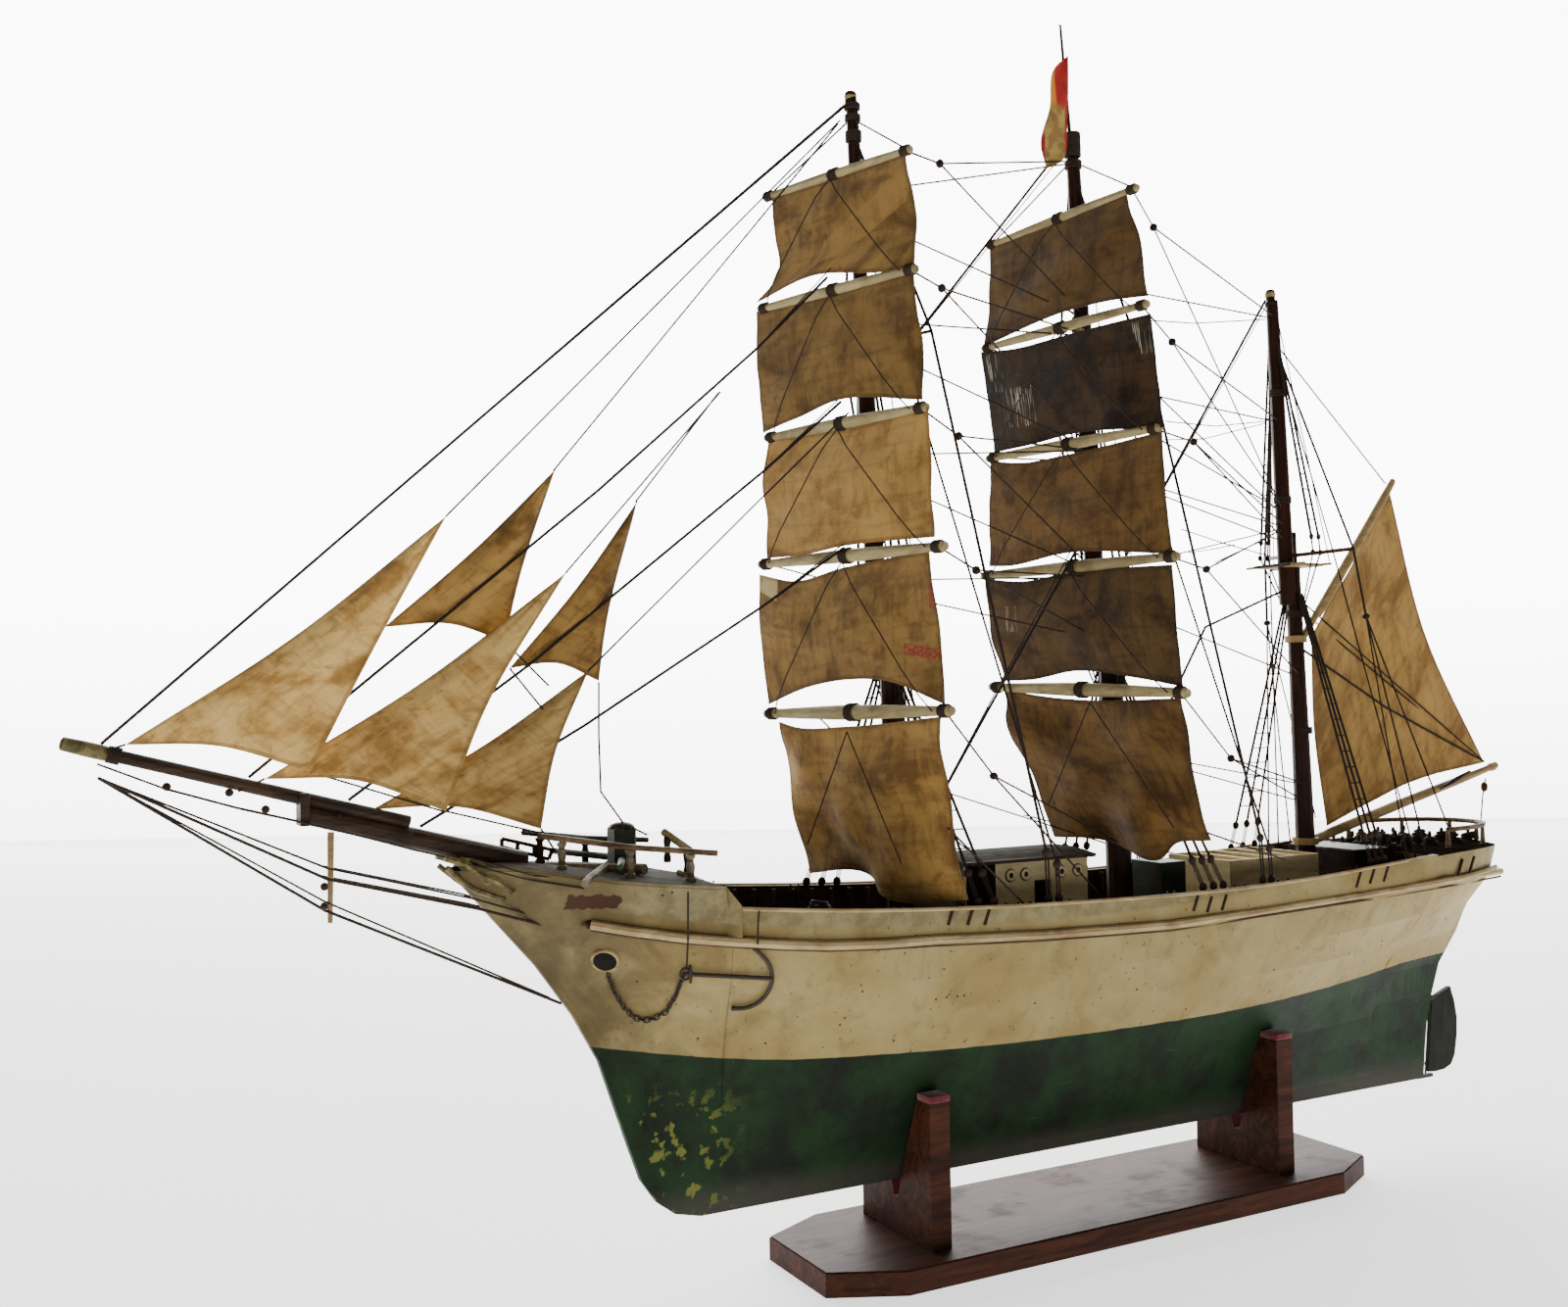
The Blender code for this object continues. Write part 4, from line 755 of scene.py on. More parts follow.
TONES = {
    "jib": ((0.80, 0.54, 0.21), (0.55, 0.325, 0.105), (0.25, 0.125, 0.034)),
    "light": ((0.58, 0.355, 0.115), (0.42, 0.240, 0.070), (0.22, 0.110, 0.032)),
    "mid": ((0.42, 0.250, 0.078), (0.27, 0.150, 0.042), (0.125, 0.063, 0.019)),
    "brown": ((0.24, 0.135, 0.040), (0.145, 0.075, 0.021), (0.062, 0.031, 0.010)),
    "deep": ((0.125, 0.072, 0.024), (0.068, 0.037, 0.013), (0.028, 0.015, 0.006)),
    "dark": ((0.085, 0.046, 0.016), (0.034, 0.017, 0.007), (0.011, 0.006, 0.0035)),
}
# How light each sail is drawn: the share of its tone's lightness that is kept
SAIL_LIGHTNESS = {"fore_royal": 0.58, "fore_topgallant": 0.46, "fore_upper_topsail": 0.66, "fore_lower_topsail": 0.60,
       "fore_course": 0.83, "main_royal": 0.46, "main_topgallant": 0.56, "main_upper_topsail": 0.64,
       "main_lower_topsail": 0.74, "main_course": 0.66, "flying_jib": 1.00, "jib_topsail_outer": 0.86,
       "outer_jib": 0.74, "jib_topsail_inner": 0.78, "inner_jib": 0.54, "spanker": 0.70}
CLOTH_THICK = 0.0007
# A three-cornered sheet's area is never given as less than this share of its flat length by width
FLAG_FREE_EDGE = ((1090, 57), (1077, 68), (1071, 110), (1062, 148), (1068, 172))
FLAG_HOIST = ((1090, 57), (1090, 95), (1089, 125), (1083, 165), (1068, 172))
FLAG_Y = -0.0046
# Patches, red darns and threadbare places: spans across and down the sail, slope, kind
SAIL_MARKS = {
    ("fore", "royal"): (
        (0.070, 0.215, 0.066, 0.096, -0.42, "faded"), (0.150, 0.200, 0.030, 0.060, -0.55, "faded")),
    ("fore", "lower_topsail"): (
        (-0.01, 0.032, -0.01, 0.016, 0.2, "patch"), (0.262, 0.292, 0.030, 0.056, 0.1, "darn"),
        (0.225, 0.300, 0.086, 0.097, 0.22, "darn")),
    ("main", "topgallant"): (
        (0.232, 0.276, 0.004, 0.040, 0.0, "bare"), (0.006, 0.034, 0.004, 0.050, 0.0, "bare"),
        (0.032, 0.080, 0.046, 0.092, 0.0, "bare")),
    ("main", "lower_topsail"): ((0.03, 0.05, 0.03, 0.06, 0.0, "bare"),),
}


def at_sail_lightness(tone, sail):
    """A tone's three colours at one sail's lightness, a little redder than the cloth was."""
    return tuple((r * SAIL_LIGHTNESS[sail], g * SAIL_LIGHTNESS[sail] * 0.96, b * SAIL_LIGHTNESS[sail] * 0.82) for r, g, b in TONES[tone])


def run_of(points, share):
    """A place along a smooth run of pixels, by its share of the length."""
    co = np.array(points, float)
    lengths = np.concatenate(([0.0], np.cumsum(np.linalg.norm(np.diff(co, axis=0), axis=1))))
    at = share * lengths[-1]
    if len(co) == 2:
        return co[0] + (co[1] - co[0]) * share
    slopes = np.gradient(co, lengths, axis=0)
    i = int(np.clip(np.searchsorted(lengths, at) - 1, 0, len(co) - 2))
    step = lengths[i + 1] - lengths[i]
    t = (at - lengths[i]) / step
    start = (1 + 2 * t) * (1 - t) ** 2 * co[i] + t * (1 - t) ** 2 * step * slopes[i]
    return start + t * t * (3 - 2 * t) * co[i + 1] + t * t * (t - 1) * step * slopes[i + 1]


def patch(top, bottom, left, right, u, v):
    """A place inside four edge runs."""
    sides = run_of(left, v) * (1 - u) + run_of(right, v) * u
    ends = run_of(top, u) * (1 - v) + run_of(bottom, u) * v
    corners = ((1 - u) * (1 - v) * np.array(top[0]) + u * (1 - v) * np.array(top[-1])
               + (1 - u) * v * np.array(bottom[0]) + u * v * np.array(bottom[-1]))
    return sides + ends - corners


def cloth_grid(name, place, across, down, material, body="ship", thick=CLOTH_THICK):
    """A sail from place(u, v), with its own flat UV map in metres and its distance from the edge."""
    mesh = bpy.data.meshes.new(name)
    us, vs = np.linspace(0, 1, across + 1), np.linspace(0, 1, down + 1)
    grid = np.array([[place(u, v) for u in us] for v in vs])
    wide = np.linalg.norm(np.diff(grid, axis=1), axis=2)
    tall = np.linalg.norm(np.diff(grid, axis=0), axis=2)
    flat_u = np.concatenate((np.zeros((down + 1, 1)), np.cumsum(wide, axis=1)), axis=1)
    flat_v = np.concatenate((np.zeros((1, across + 1)), np.cumsum(tall, axis=0)), axis=0)
    edge = np.minimum(np.minimum(flat_u, flat_u[:, -1:] - flat_u), np.minimum(flat_v, flat_v[-1:, :] - flat_v))
    row = across + 1
    faces = [(j * row + i, (j + 1) * row + i, (j + 1) * row + i + 1, j * row + i + 1)
             for j in range(down) for i in range(across)]
    mesh.from_pydata([tuple(p) for p in grid.reshape(-1, 3)], [], faces)
    layer = mesh.uv_layers.new(name="cloth")
    where = {k: (flat_u.flat[k], flat_v.flat[k]) for k in range(flat_u.size)}
    for loop in mesh.loops:
        layer.data[loop.index].uv = where[loop.vertex_index]
    attribute = mesh.attributes.new("edge", "FLOAT", "POINT")
    attribute.data.foreach_set("value", edge.ravel().astype(np.float32))
    obj = linked(name, mesh)
    bpy.ops.object.mode_set(mode="EDIT")
    bpy.ops.mesh.select_all(action="SELECT")
    bpy.ops.mesh.remove_doubles(threshold=0.00002)
    bpy.ops.object.mode_set(mode="OBJECT")
    thickened(obj, thick)
    area = 0.25 * np.sum((wide[1:] + wide[:-1]) * (tall[:, 1:] + tall[:, :-1]))
    flat = (float(flat_u[:, -1].max()), float(flat_v[-1].max()))
    settled(obj, name, material, body)
    return obj, flat, float(area)


def crumple(seed, u, v, amount):
    """Small folds over a sail: fixed waves of several directions."""
    rng = random.Random(seed)
    total = 0.0
    for _ in range(7):
        angle, pitch, phase = rng.uniform(0, math.pi), rng.uniform(5, 24), rng.uniform(0, 6.28)
        total += math.sin((u * math.cos(angle) + v * math.sin(angle)) * pitch + phase) / pitch
    return total * amount


def hanging_middles(mast, tier):
    """The middles of a square sail's head and foot."""
    port_arm, star_arm = ARMS[mast, tier]
    middle = (port_arm + star_arm) / 2
    if tier == "course":
        return middle, middle + Vector((COURSE_FOOT_SWING[mast], 0, -COURSE_DROP))
    low_port, low_star = ARMS[mast, TIERS[TIERS.index(tier) + 1]]
    return middle, (low_port + low_star) / 2


def make_square_sail(mast, tier, order):
    """Set one square sail between its yard and the next, in place of the carried one."""
    row = SQUARE[mast, tier]
    port_arm, star_arm = ARMS[mast, tier]
    along = (port_arm - star_arm).normalized()
    normal = along.cross(up(1)).normalized()
    if normal.x > 0:
        normal = -normal
    left = (row["head"][0], *row["star"], row["foot"][0])
    right = (row["head"][-1], *row["port"], row["foot"][-1])
    course = tier == "course"
    middle, foot_middle = hanging_middles(mast, tier)
    plane = along.cross((foot_middle - middle).normalized()).normalized()

    def place(u, v):
        at = on_plane(patch(row["head"], row["foot"], left, right, u, v), middle, plane)
        belly = (0.006 if not course else 0.014) * math.sin(math.pi * u) * math.sin(0.85 * math.pi * v)
        ripple = crumple(order * 31 + 7, u, v, 0.0065 if not course else 0.020) * min(1.0, 6 * v)
        if course:
            ripple += 0.006 * v * v * math.sin(9 * u + 2.0) + 0.003 * v * math.sin(17 * u + 5 * v)
        lift = (0.0015 if course else 0.0040) * max(0.0, 1.0 - v / 0.15)
        return at + normal * (belly + ripple) + up(lift)

    tone = at_sail_lightness(row["tone"], f"{mast}_{tier}")
    dark = 0.5 if row["tone"] in ("deep", "dark") else 0.0
    material = sail_linen(f"linen_{mast}_{tier}", tone, order + 1, dark, SAIL_MARKS.get((mast, tier), ()))
    fine = 36 if course else 26
    name = f"{mast}_{tier}_canvas"
    obj, flat, area = cloth_grid(name, place, fine, fine, material)
    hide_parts(f"{mast}_{tier}_sail")


def make_headsail(name, row, order):
    """Set one three-cornered sail on its stay, in place of the carried one."""
    y_luff, y_clew = row["y"]
    tack, head = on_middle(row["tack"], y_luff), on_middle(row["head"], y_luff)
    clew = on_middle(row["clew"], y_clew)
    plane = (head - tack).cross(clew - tack).normalized()
    if plane.y > 0:
        plane = -plane
    luff = (row["head"], *row["luff"][::-1], row["tack"])
    leech = (row["head"], *row["leech"], row["clew"])
    foot = (row["tack"], *row["foot"], row["clew"])
    peak = np.array(row["head"])

    def place(u, v):
        v = v ** 1.25
        sides = run_of(luff, v) * (1 - u) + run_of(leech, v) * u
        ends = peak * (1 - v) + run_of(foot, u) * v
        corners = peak * (1 - v) + (1 - u) * v * np.array(foot[0]) + u * v * np.array(foot[-1])
        at = on_plane(sides + ends - corners, tack, plane)
        belly = 0.008 * math.sin(math.pi * u) * math.sin(math.pi * min(v, 0.98))
        return at + plane * (belly + crumple(order * 17 + 3, u, v, 0.006) * math.sin(math.pi * u))

    material = sail_linen("linen_" + name, at_sail_lightness(row["tone"], name), order + 20)
    obj, flat, area = cloth_grid(name + "_canvas", place, 22, 26, material)
    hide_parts(name + "_sail")


def make_spanker():
    """Set the spanker between gaff and boom, in place of the carried one."""
    top = (SPANKER["throat"], *SPANKER["head"], SPANKER["peak"])
    bottom = (SPANKER["tack"], *SPANKER["foot"], SPANKER["clew"])
    left = (SPANKER["throat"], *SPANKER["luff"], SPANKER["tack"])
    right = (SPANKER["peak"], *SPANKER["leech"], SPANKER["clew"])

    def place(u, v):
        at = on_middle(patch(top, bottom, left, right, u, v))
        belly = 0.009 * math.sin(math.pi * u) * math.sin(math.pi * v)
        return at + Vector((0, belly + crumple(77, u, v, 0.012) * math.sin(math.pi * u), 0))

    material = sail_linen("linen_spanker", at_sail_lightness("light", "spanker"), 40, folds=0.0)
    obj, flat, area = cloth_grid("spanker_canvas", place, 26, 34, material, "spanker")
    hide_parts("spanker_sail")


def make_flag():
    """The small striped ensign: a hanging strip with rounded folds, in its own colours."""
    def place(u, v):
        at = on_middle(run_of(FLAG_FREE_EDGE, v) * (1 - u) + run_of(FLAG_HOIST, v) * u, FLAG_Y)
        return at + Vector((0, 0.003 * math.sin(7 * v + 3 * u) * math.sin(math.pi * u), 0))

    f = Finish("flag_stripes", 0.85)
    z = f.axis()[2]
    weave = f.noise(900.0, 2.0)
    across = f.value(f.node("ShaderNodeAttribute", {"attribute_name": "band"}).outputs["Fac"])
    red = f.mix(f.step(f.noise(60.0, 3.0), 0.4, 0.7), (0.42, 0.035, 0.03), (0.26, 0.03, 0.025))
    gold = f.mix(f.step(f.noise(60.0, 3.0), 0.4, 0.7), (0.70, 0.26, 0.045), (0.52, 0.17, 0.04))
    low = f.mix(f.step(f.noise(90.0, 3.0), 0.4, 0.6), (0.42, 0.28, 0.085), (0.26, 0.15, 0.05))
    colour = f.mix(f.step(across, 0.50, 0.56), gold, red)
    colour = f.mix(1.0 - f.step(z, 1.222, 1.234), colour, f.mix(f.step(across, 0.80, 0.86), low, red))
    colour = f.mix((1.0 - f.step(across, 0.10, 0.16)) * (1.0 - f.step(z, 1.19, 1.20)), colour, (0.30, 0.03, 0.03))
    obj, flat, area = cloth_grid("ensign", place, 14, 26, f.finish(colour, weave, 0.0003), thick=0.0006)
    shares = obj.data.attributes.new("band", "FLOAT", "POINT")
    co = np.zeros(len(obj.data.vertices) * 3)
    obj.data.vertices.foreach_get("co", co)
    x = co.reshape(-1, 3)[:, 0]
    shares.data.foreach_set("value", ((x - x.min()) / (x.max() - x.min())).astype(np.float32))
    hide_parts("flag")


# Rigging: blocks and ends as the photograph shows them, in its pixels

# Yard: block of the port brace, then the places on the next mast that its legs lead to
BRACES = {
    ("fore", "royal"): ((959, 167), ((1084, 165), (1089, 317))),
    ("fore", "topgallant"): ((961, 294), ((1060, 336), (1087, 450))),
    ("fore", "upper_topsail"): ((978, 445), ((1060, 456), (1089, 579))),
    ("fore", "lower_topsail"): ((996, 582), ((1082, 588), (1092, 650))),
    ("main", "royal"): ((1177, 232), ((1297, 323), (1303, 518))),
    ("main", "topgallant"): ((1196, 349), ((1292, 428), (1292, 516))),
    ("main", "upper_topsail"): ((1218, 451), ((1291, 534), (1290, 549))),
    ("main", "lower_topsail"): ((1231, 581), ((1316, 688), (1311, 541))),
    ("main", "course"): ((1256, 774), ((1318, 800), (1318, 818))),
}
# Slack lines between main and mizzen: their knots
SLACK_LINES = (((1175, 327), (1218, 330), (1291, 326)), ((1189, 430), (1240, 435), (1291, 430)),
               ((1188, 449), (1228, 448), (1291, 432)), ((1205, 540), (1250, 555), (1297, 568)),
               ((1213, 564), (1235, 561), (1260, 556)), ((1240, 574), (1290, 551)))
# Halyards of the headsails: mast end, then what they pass on the way to the sail's head (x, z)
HALYARDS = {
    "flying_jib": ((-0.2943, 1.1674), (-0.7097, 0.7394)),
    "jib_topsail_outer": ((-0.2943, 1.1653), (-0.6072, 0.7867)),
    "jib_topsail_inner": ((-0.4356, 0.874), (-0.5253, 0.7615)),
    "outer_jib": ((-0.4356, 0.874), (-0.5977, 0.6914)),
    "inner_jib": ((-0.2895, 0.8648), (-0.3924, 0.7708), (-0.5768, 0.6002)),
}
# Tacks and sheets of the headsails in the middle plane's pixels
TACK_LINES = (
    ((128, 760), (102, 768)), ((270, 795), (243, 808)), ((380, 826), (350, 836)), ((636, 840), (660, 852)),
    ((520, 682), (541, 708), (563, 735)), ((611, 696), (611, 750), (613, 808), (636, 840)),
    ((552, 846), (566, 868)), ((455, 828), (560, 852)), ((317, 788), (452, 828)), ((515, 655), (560, 700)))
# Lines under the bowsprit, port side: jibboom's end, dolphin striker, stem
BOBSTAYS = (((100, 794), (331, 885), (478, 915), (560, 938)), ((100, 794), (331, 896), (482, 925), (560, 944)),
            ((100, 794), (331, 920), (560, 1018)), ((100, 794), (331, 929), (572, 1024)))
# Lower shrouds: the head's height, then the places along the rail on each side
SHROUDS = {
    "fore": (0.612, {-1: (-0.236, -0.216, -0.197), 1: (-0.288, -0.269, -0.250)}),
    "main": (0.610, {-1: (0.076, 0.091, 0.105), 1: (0.057, 0.075, 0.093)}),
    "mizzen": (0.690, {-1: (0.333, 0.344, 0.355), 1: (0.329, 0.349, 0.369)}),
}
LANYARD = 0.030
TOPMAST_SHROUD_HEADS = {"fore": 0.965, "main": 0.960, "mizzen": 1.002}
LIFT_HEAD = 1.172
BACKSTAYS = {"fore": (1.150, 0.935, -0.130), "main": (1.150, 0.900, 0.163)}
# Stays of the middle plane, which the carried ones lie inside (x, z)
STAY_ROUTES = (((-0.2894, 1.1835), (-0.9919, 0.5436)),
               ((-0.3125, 1.0021), (-0.3949, 0.9205), (-0.5639, 0.7707), (-0.8790, 0.5127)),
               ((-0.2986, 0.8752), (-0.3892, 0.7984), (-0.6336, 0.6064), (-0.7970, 0.4900)),
               ((-0.298, 0.7252), (-0.3942, 0.6626), (-0.5801, 0.5501), (-0.7350, 0.4640)),
               ((-0.0053, 1.1860), (-0.2636, 0.8859)), ((0.0003, 0.7300), (-0.2289, 0.4040)),
               ((0.3005, 1.0461), (0.0512, 0.6963)))
RATLINE_STEP = 0.0185
# Buntlines of the courses: where the two legs part, then the legs' lower ends
COURSE_BUNTLINES = {"fore": ((864, 747), ((824, 862), (920, 882))),
                    "main": ((1112, 717), ((1070, 821), (1198, 845)))}
# Footrope of the jibboom
FOOTROPE = ((100, 775), (168, 800), (243, 820), (343, 842), (420, 862), (500, 880))


def copies_of(model, placings, name, material, body="ship"):
    """One piece made of copies of a modelled one, each with its own mesh, at (place, direction of its axis)."""
    twins = [twin_of(model, place, along) for place, along in placings]
    bpy.data.objects.remove(model)
    return settled(joined(twins), name, material, body)


def lashing(radius, turns=4, wire=0.0007):
    """Turns of cord round the Z axis."""
    return joined([hoop((0, 0, (k - (turns - 1) / 2) * wire * 1.9), radius, wire, (0, 0, 1), 14)
                   for k in range(turns)])


def deadeye(radius):
    """A flat round block with a groove round its rim, its axis along Z."""
    half = radius * 0.34
    return turned(((0, radius * 0.62), (0.2, radius * 0.9), (0.38, radius), (0.5, radius * 0.9), (0.62, radius),
                   (0.8, radius * 0.9), (1, radius * 0.62)), (0, 0, -half), (0, 0, half), 12)


def brace_runs(mast, tier, look, blocks):
    """Pendants and legs of a yard's two braces: port as the photograph shows it, starboard mirrored."""
    seen, legs = BRACES[mast, tier]
    after = MASTS[MASTS.index(mast) + 1]
    port_arm, star_arm = (ARMS[mast, tier][k].lerp(ARMS[mast, tier][1 - k], 0.03) for k in (0, 1))
    ends = [mast_seen(after, leg) for leg in legs]
    port = on_plane(seen, port_arm, (ends[0] - port_arm).cross(up(1)).normalized())
    star = star_arm + mirrored(port - port_arm)
    runs = []
    for arm, place, side in ((port_arm, port, -1), (star_arm, star, 1)):
        blocks.append((place, (ends[0] - place).normalized()))
        runs.append(([arm, place], look.thin))
        for end in ends:
            runs.append(([place, end + Vector((-0.004, side * 0.005, 0))], look.thin))
    return runs


def shroud_runs(mast, side, look, eyes):
    """Lower shrouds of one side with their ratlines and lanyards."""
    head, rails = SHROUDS[mast]
    runs, uppers, tops = [], [], []
    for k, x in enumerate(rails[side]):
        lower = rail_at(x, side, 0.007) + up(0.004)
        top = mast_at(mast, head) + Vector((0.003 * (k - 1), side * 0.010, 0))
        upper = lower + (top - lower).normalized() * LANYARD
        eyes += [(upper, (0, 1, 0)), (lower, (0, 1, 0))]
        runs.append(([upper + (top - upper).normalized() * 0.004, top], look.thick))
        for shift in (-0.0022, 0, 0.0022):
            runs.append(([upper + Vector((shift, 0, 0)), lower + Vector((shift, 0, 0))], look.thin * 0.55))
        uppers.append(upper)
        tops.append(top)
    z = max(upper.z for upper in uppers) + 0.022
    while z < head - 0.02:
        runs.append(([u.lerp(t, (z - u.z) / (t.z - u.z)) for u, t in zip(uppers, tops)], look.thin * 0.8))
        z += RATLINE_STEP
    return runs


def topmast_shroud_runs(mast, side, look, eyes):
    """Topmast shrouds to the platform's arms, with ratlines."""
    low = PLATFORM_Z[mast]
    head = TOPMAST_SHROUD_HEADS[mast]
    runs, feet, tops = [], [], []
    for k in range(3 if mast != "mizzen" else 2):
        foot = mast_at(mast, low + 0.02) + Vector((0.006 + 0.012 * k, side * 0.040, 0.014))
        under = foot - Vector((0, -side * 0.002, 0.019))
        top = mast_at(mast, head) + Vector((0.002 * k, side * 0.005, 0))
        eyes += [(foot, (0, 1, 0)), (under, (0, 1, 0))]
        runs.append(([foot, top], look.thick))
        runs.append(([under, foot], look.thin))
        runs.append(([under, mast_at(mast, low - 0.065) + Vector((0, side * 0.008, 0))], look.thin))
        feet.append(foot)
        tops.append(top)
    z = low + 0.055
    while z < head - 0.05:
        runs.append(([f.lerp(t, (z - f.z) / (t.z - f.z)) for f, t in zip(feet, tops)], look.thin * 0.8))
        z += RATLINE_STEP
    return runs


def backstay_runs(mast, side, look, eyes, rods):
    """Royal and topgallant backstays over the spreader down to the rail."""
    head, spreader, x = BACKSTAYS[mast]
    root = mast_at(mast, spreader)
    tip = root + Vector((0.03, side * 0.085, 0))
    rods.append(([root, tip], 0.0017))
    runs = []
    for k, shift in enumerate((0.0, 0.013)):
        rail = rail_at(x + shift, side, 0.007)
        upper = rail + Vector((0, -side * 0.002, 0.050 - 0.012 * k))
        lower = rail + up(0.004)
        eyes += [(upper, (0, 1, 0)), (lower, (0, 1, 0))]
        start = mast_at(mast, head - 0.16 * k) + Vector((0, side * 0.005, 0))
        runs.append(([start, tip if not k else root.lerp(tip, 0.55), upper], look.thick * (1.0 - 0.25 * k)))
        for step in (-0.0018, 0.0018):
            runs.append(([upper + Vector((step, 0, 0)), lower + Vector((step, 0, 0))], look.thin))
    return runs


def sail_plane(mast, tier):
    """Middle of a square sail's head, and the forward normal of the plane it hangs in."""
    port_arm, star_arm = ARMS[mast, tier]
    middle, foot = hanging_middles(mast, tier)
    plane = (port_arm - star_arm).cross(foot - middle).normalized()
    return middle, -plane if plane.x > 0 else plane


def buntline_runs(mast, tier, look):
    """The V of lines on the fore side of a square sail."""
    middle, forward = sail_plane(mast, tier)
    if tier == "course":
        apex, legs = COURSE_BUNTLINES[mast]
        start = on_plane(apex, middle + forward * 0.012, forward)
        feet = [on_plane(leg, middle + forward * 0.044, forward) for leg in legs]
    else:
        below = TIERS[TIERS.index(tier) + 1]
        start = middle + up(-0.006)
        feet = [ARMS[mast, below][k].lerp(ARMS[mast, below][1 - k], 0.07) for k in (0, 1)]
    runs = []
    for foot in feet:
        if tier == "course":
            points = [start.lerp(foot, t) for t in (0, 0.5, 1.0)]
        else:
            points = [start.lerp(foot, t) + forward * (0.007 + 0.0065 * min(1.0, 6 * t, 6 * (1 - t)))
                      for t in (0, 0.15, 0.3, 0.45, 0.6, 0.75, 0.9, 1.0)]
            points[-1] = foot + forward * 0.006
        runs.append((points, look.thin * 0.72))
    return runs


# Small fittings: where the photograph shows them, in its pixels

SLOTS = ((970, 936), (990, 936), (1007, 936), (1220, 922), (1234, 923), (1249, 921), (1386, 898), (1400, 894),
         (1414, 892), (1490, 885), (1502, 882))
NAILS = ((955, 1020), (966, 1018), (984, 1016), (977, 1017), (862, 1039), (857, 1046), (912, 1062), (781, 1065),
         (748, 1084), (826, 1084), (712, 1060), (676, 914), (686, 911), (1056, 1024), (1160, 1010), (650, 1002),
         (833, 924), (880, 1012), (1300, 990), (1410, 960), (1210, 1030), (1475, 938))
SCROLLS = (((454, 876), (476, 882), (492, 893), (508, 899), (524, 910)),
           ((456, 886), (470, 898), (486, 908), (500, 913), (516, 918)),
           ((470, 876), (488, 880), (500, 888), (506, 897), (498, 901), (492, 896)))
# The ports' own holes are filled, and the rings sit where the photograph shows them
FILLED_PORTS = (-0.138, -0.120, -0.068, -0.048)
FILLED_Z = 0.3885
HOUSE_PORTS = (-0.1317, -0.1124, -0.0655, -0.0436)
PORT_Z = 0.3848
HOUSE_SIDE = 0.047
HOUSE_FLOOR = 0.3368
# Doorways of the deckhouse, filled with painted shade: from x, to x, top
HOUSE_GAPS = ((-0.1005, -0.0795, 0.3775), (-0.1840, -0.1507, 0.3975))
JIBBOOM_BLOCKS = ((170, 803), (234, 809), (271, 826), (346, 833), (418, 852), (331, 905), (331, 925))
POOP_HEAPS = (
    (1352, 869), (1361, 864), (1370, 867), (1380, 862), (1391, 866), (1402, 861), (1413, 865), (1424, 861),
    (1436, 864), (1447, 860), (1459, 862), (1471, 858), (1484, 860), (1498, 857))
SIDE_LINES = (((480, 876), (546, 893), (596, 898), (660, 902), (738, 906)), ((478, 882), (540, 897), (596, 906)),
              ((604, 893), (650, 897), (740, 904)))
FRAME_STEP = 0.0235
FORECASTLE_Z = 0.41
# Turned posts under each forecastle rail (x, distance from the middle)
RAIL_POSTS = ((-0.615, 0.030), (-0.560, 0.057), (-0.508, 0.074))
# A plane far behind the ship, for a pixel that misses a piece
MISSED_Y = 0.5
# Belaying pins along the rails (x), and coils on the main deck (x, y)
PIN_PLACES = (-0.31, -0.30, -0.18, -0.165, -0.15, -0.10, 0.03, 0.04, 0.125, 0.14, 0.19, 0.205, 0.30, 0.315,
              0.40, 0.415)
DECK_HEAPS = ((0.345, -0.078), (0.385, -0.080), (0.415, -0.072), (0.355, 0.080), (0.40, 0.078), (-0.30, 0.06),
              (-0.33, -0.05))
LADDER = (((512, 856), (566, 868)), ((512, 864), (560, 877)), ((512, 856), (512, 864)), ((528, 860), (528, 868)),
          ((545, 864), (545, 873)), ((563, 868), (560, 877)))
# Hull trims of the port side
WALE_LINE = (
    (603, 944), (640, 950), (700, 957), (748, 960.6), (800, 963.5), (847, 964.6), (900, 963), (954, 959.5),
    (1010, 957), (1061, 954.5), (1100, 951.5), (1195, 944), (1290, 929.5), (1384, 914.5), (1479, 898.5),
    (1531, 889))
ANCHOR_ARMS = ((759, 962), (766, 964), (776, 972), (784, 982), (787, 997), (782, 1011), (770, 1022), (758, 1026),
               (748, 1026))
ANCHOR_SHANK = ((699, 990), (786, 995))
ANCHOR_CORDS = (((699, 910), (699, 925), (699, 957), (699, 989)), ((771, 929), (770, 947), (770, 961), (770, 968)))
CHAIN = ((621, 994), (627, 1011), (637, 1027), (647, 1037), (657, 1040), (667, 1038), (679, 1031), (689, 1015),
         (697, 994))
HAWSE = (617.5, 980)
CHAIN_PITCH = 0.0046
IRON = 0.0021
# Masts: radius at heights; yards: radius at the arms and the middle
MAST_GIRTHS = {
    "fore": ((0.336, 0.0125), (0.605, 0.0122), (0.64, 0.0105), (0.88, 0.0088), (1.06, 0.0070), (1.19, 0.0062)),
    "main": ((0.336, 0.0132), (0.605, 0.0128), (0.64, 0.0108), (0.88, 0.0092), (1.12, 0.0084), (1.17, 0.0074)),
    "mizzen": ((0.336, 0.0115), (0.66, 0.0108), (0.70, 0.0096), (0.90, 0.0088), (1.06, 0.0070)),
}
TOPMAST_CORE = 0.0050
LOWER_CORE = 0.0085
MAIN_HEAD = 1.172
MIZZEN_BANDS = (0.93, 0.80, 0.662, 0.52)
YARD_GIRTHS = {"royal": (0.0040, 0.0050), "topgallant": (0.0044, 0.0055), "upper_topsail": (0.0046, 0.0062),
               "lower_topsail": (0.0050, 0.0068), "course": (0.0054, 0.0078)}
# Turns of cord round the mast heads: their places as seen, and their number
HEAD_LASHINGS = {
    "fore": (((868, 109), 3), ((866, 120), 3), ((868, 139), 5), ((868, 290), 5), ((868, 548), 5)),
    "main": (((1092, 142), 6), ((1092, 154), 6), ((1092, 168), 4), ((1090, 327), 5), ((1090, 455), 5)),
}


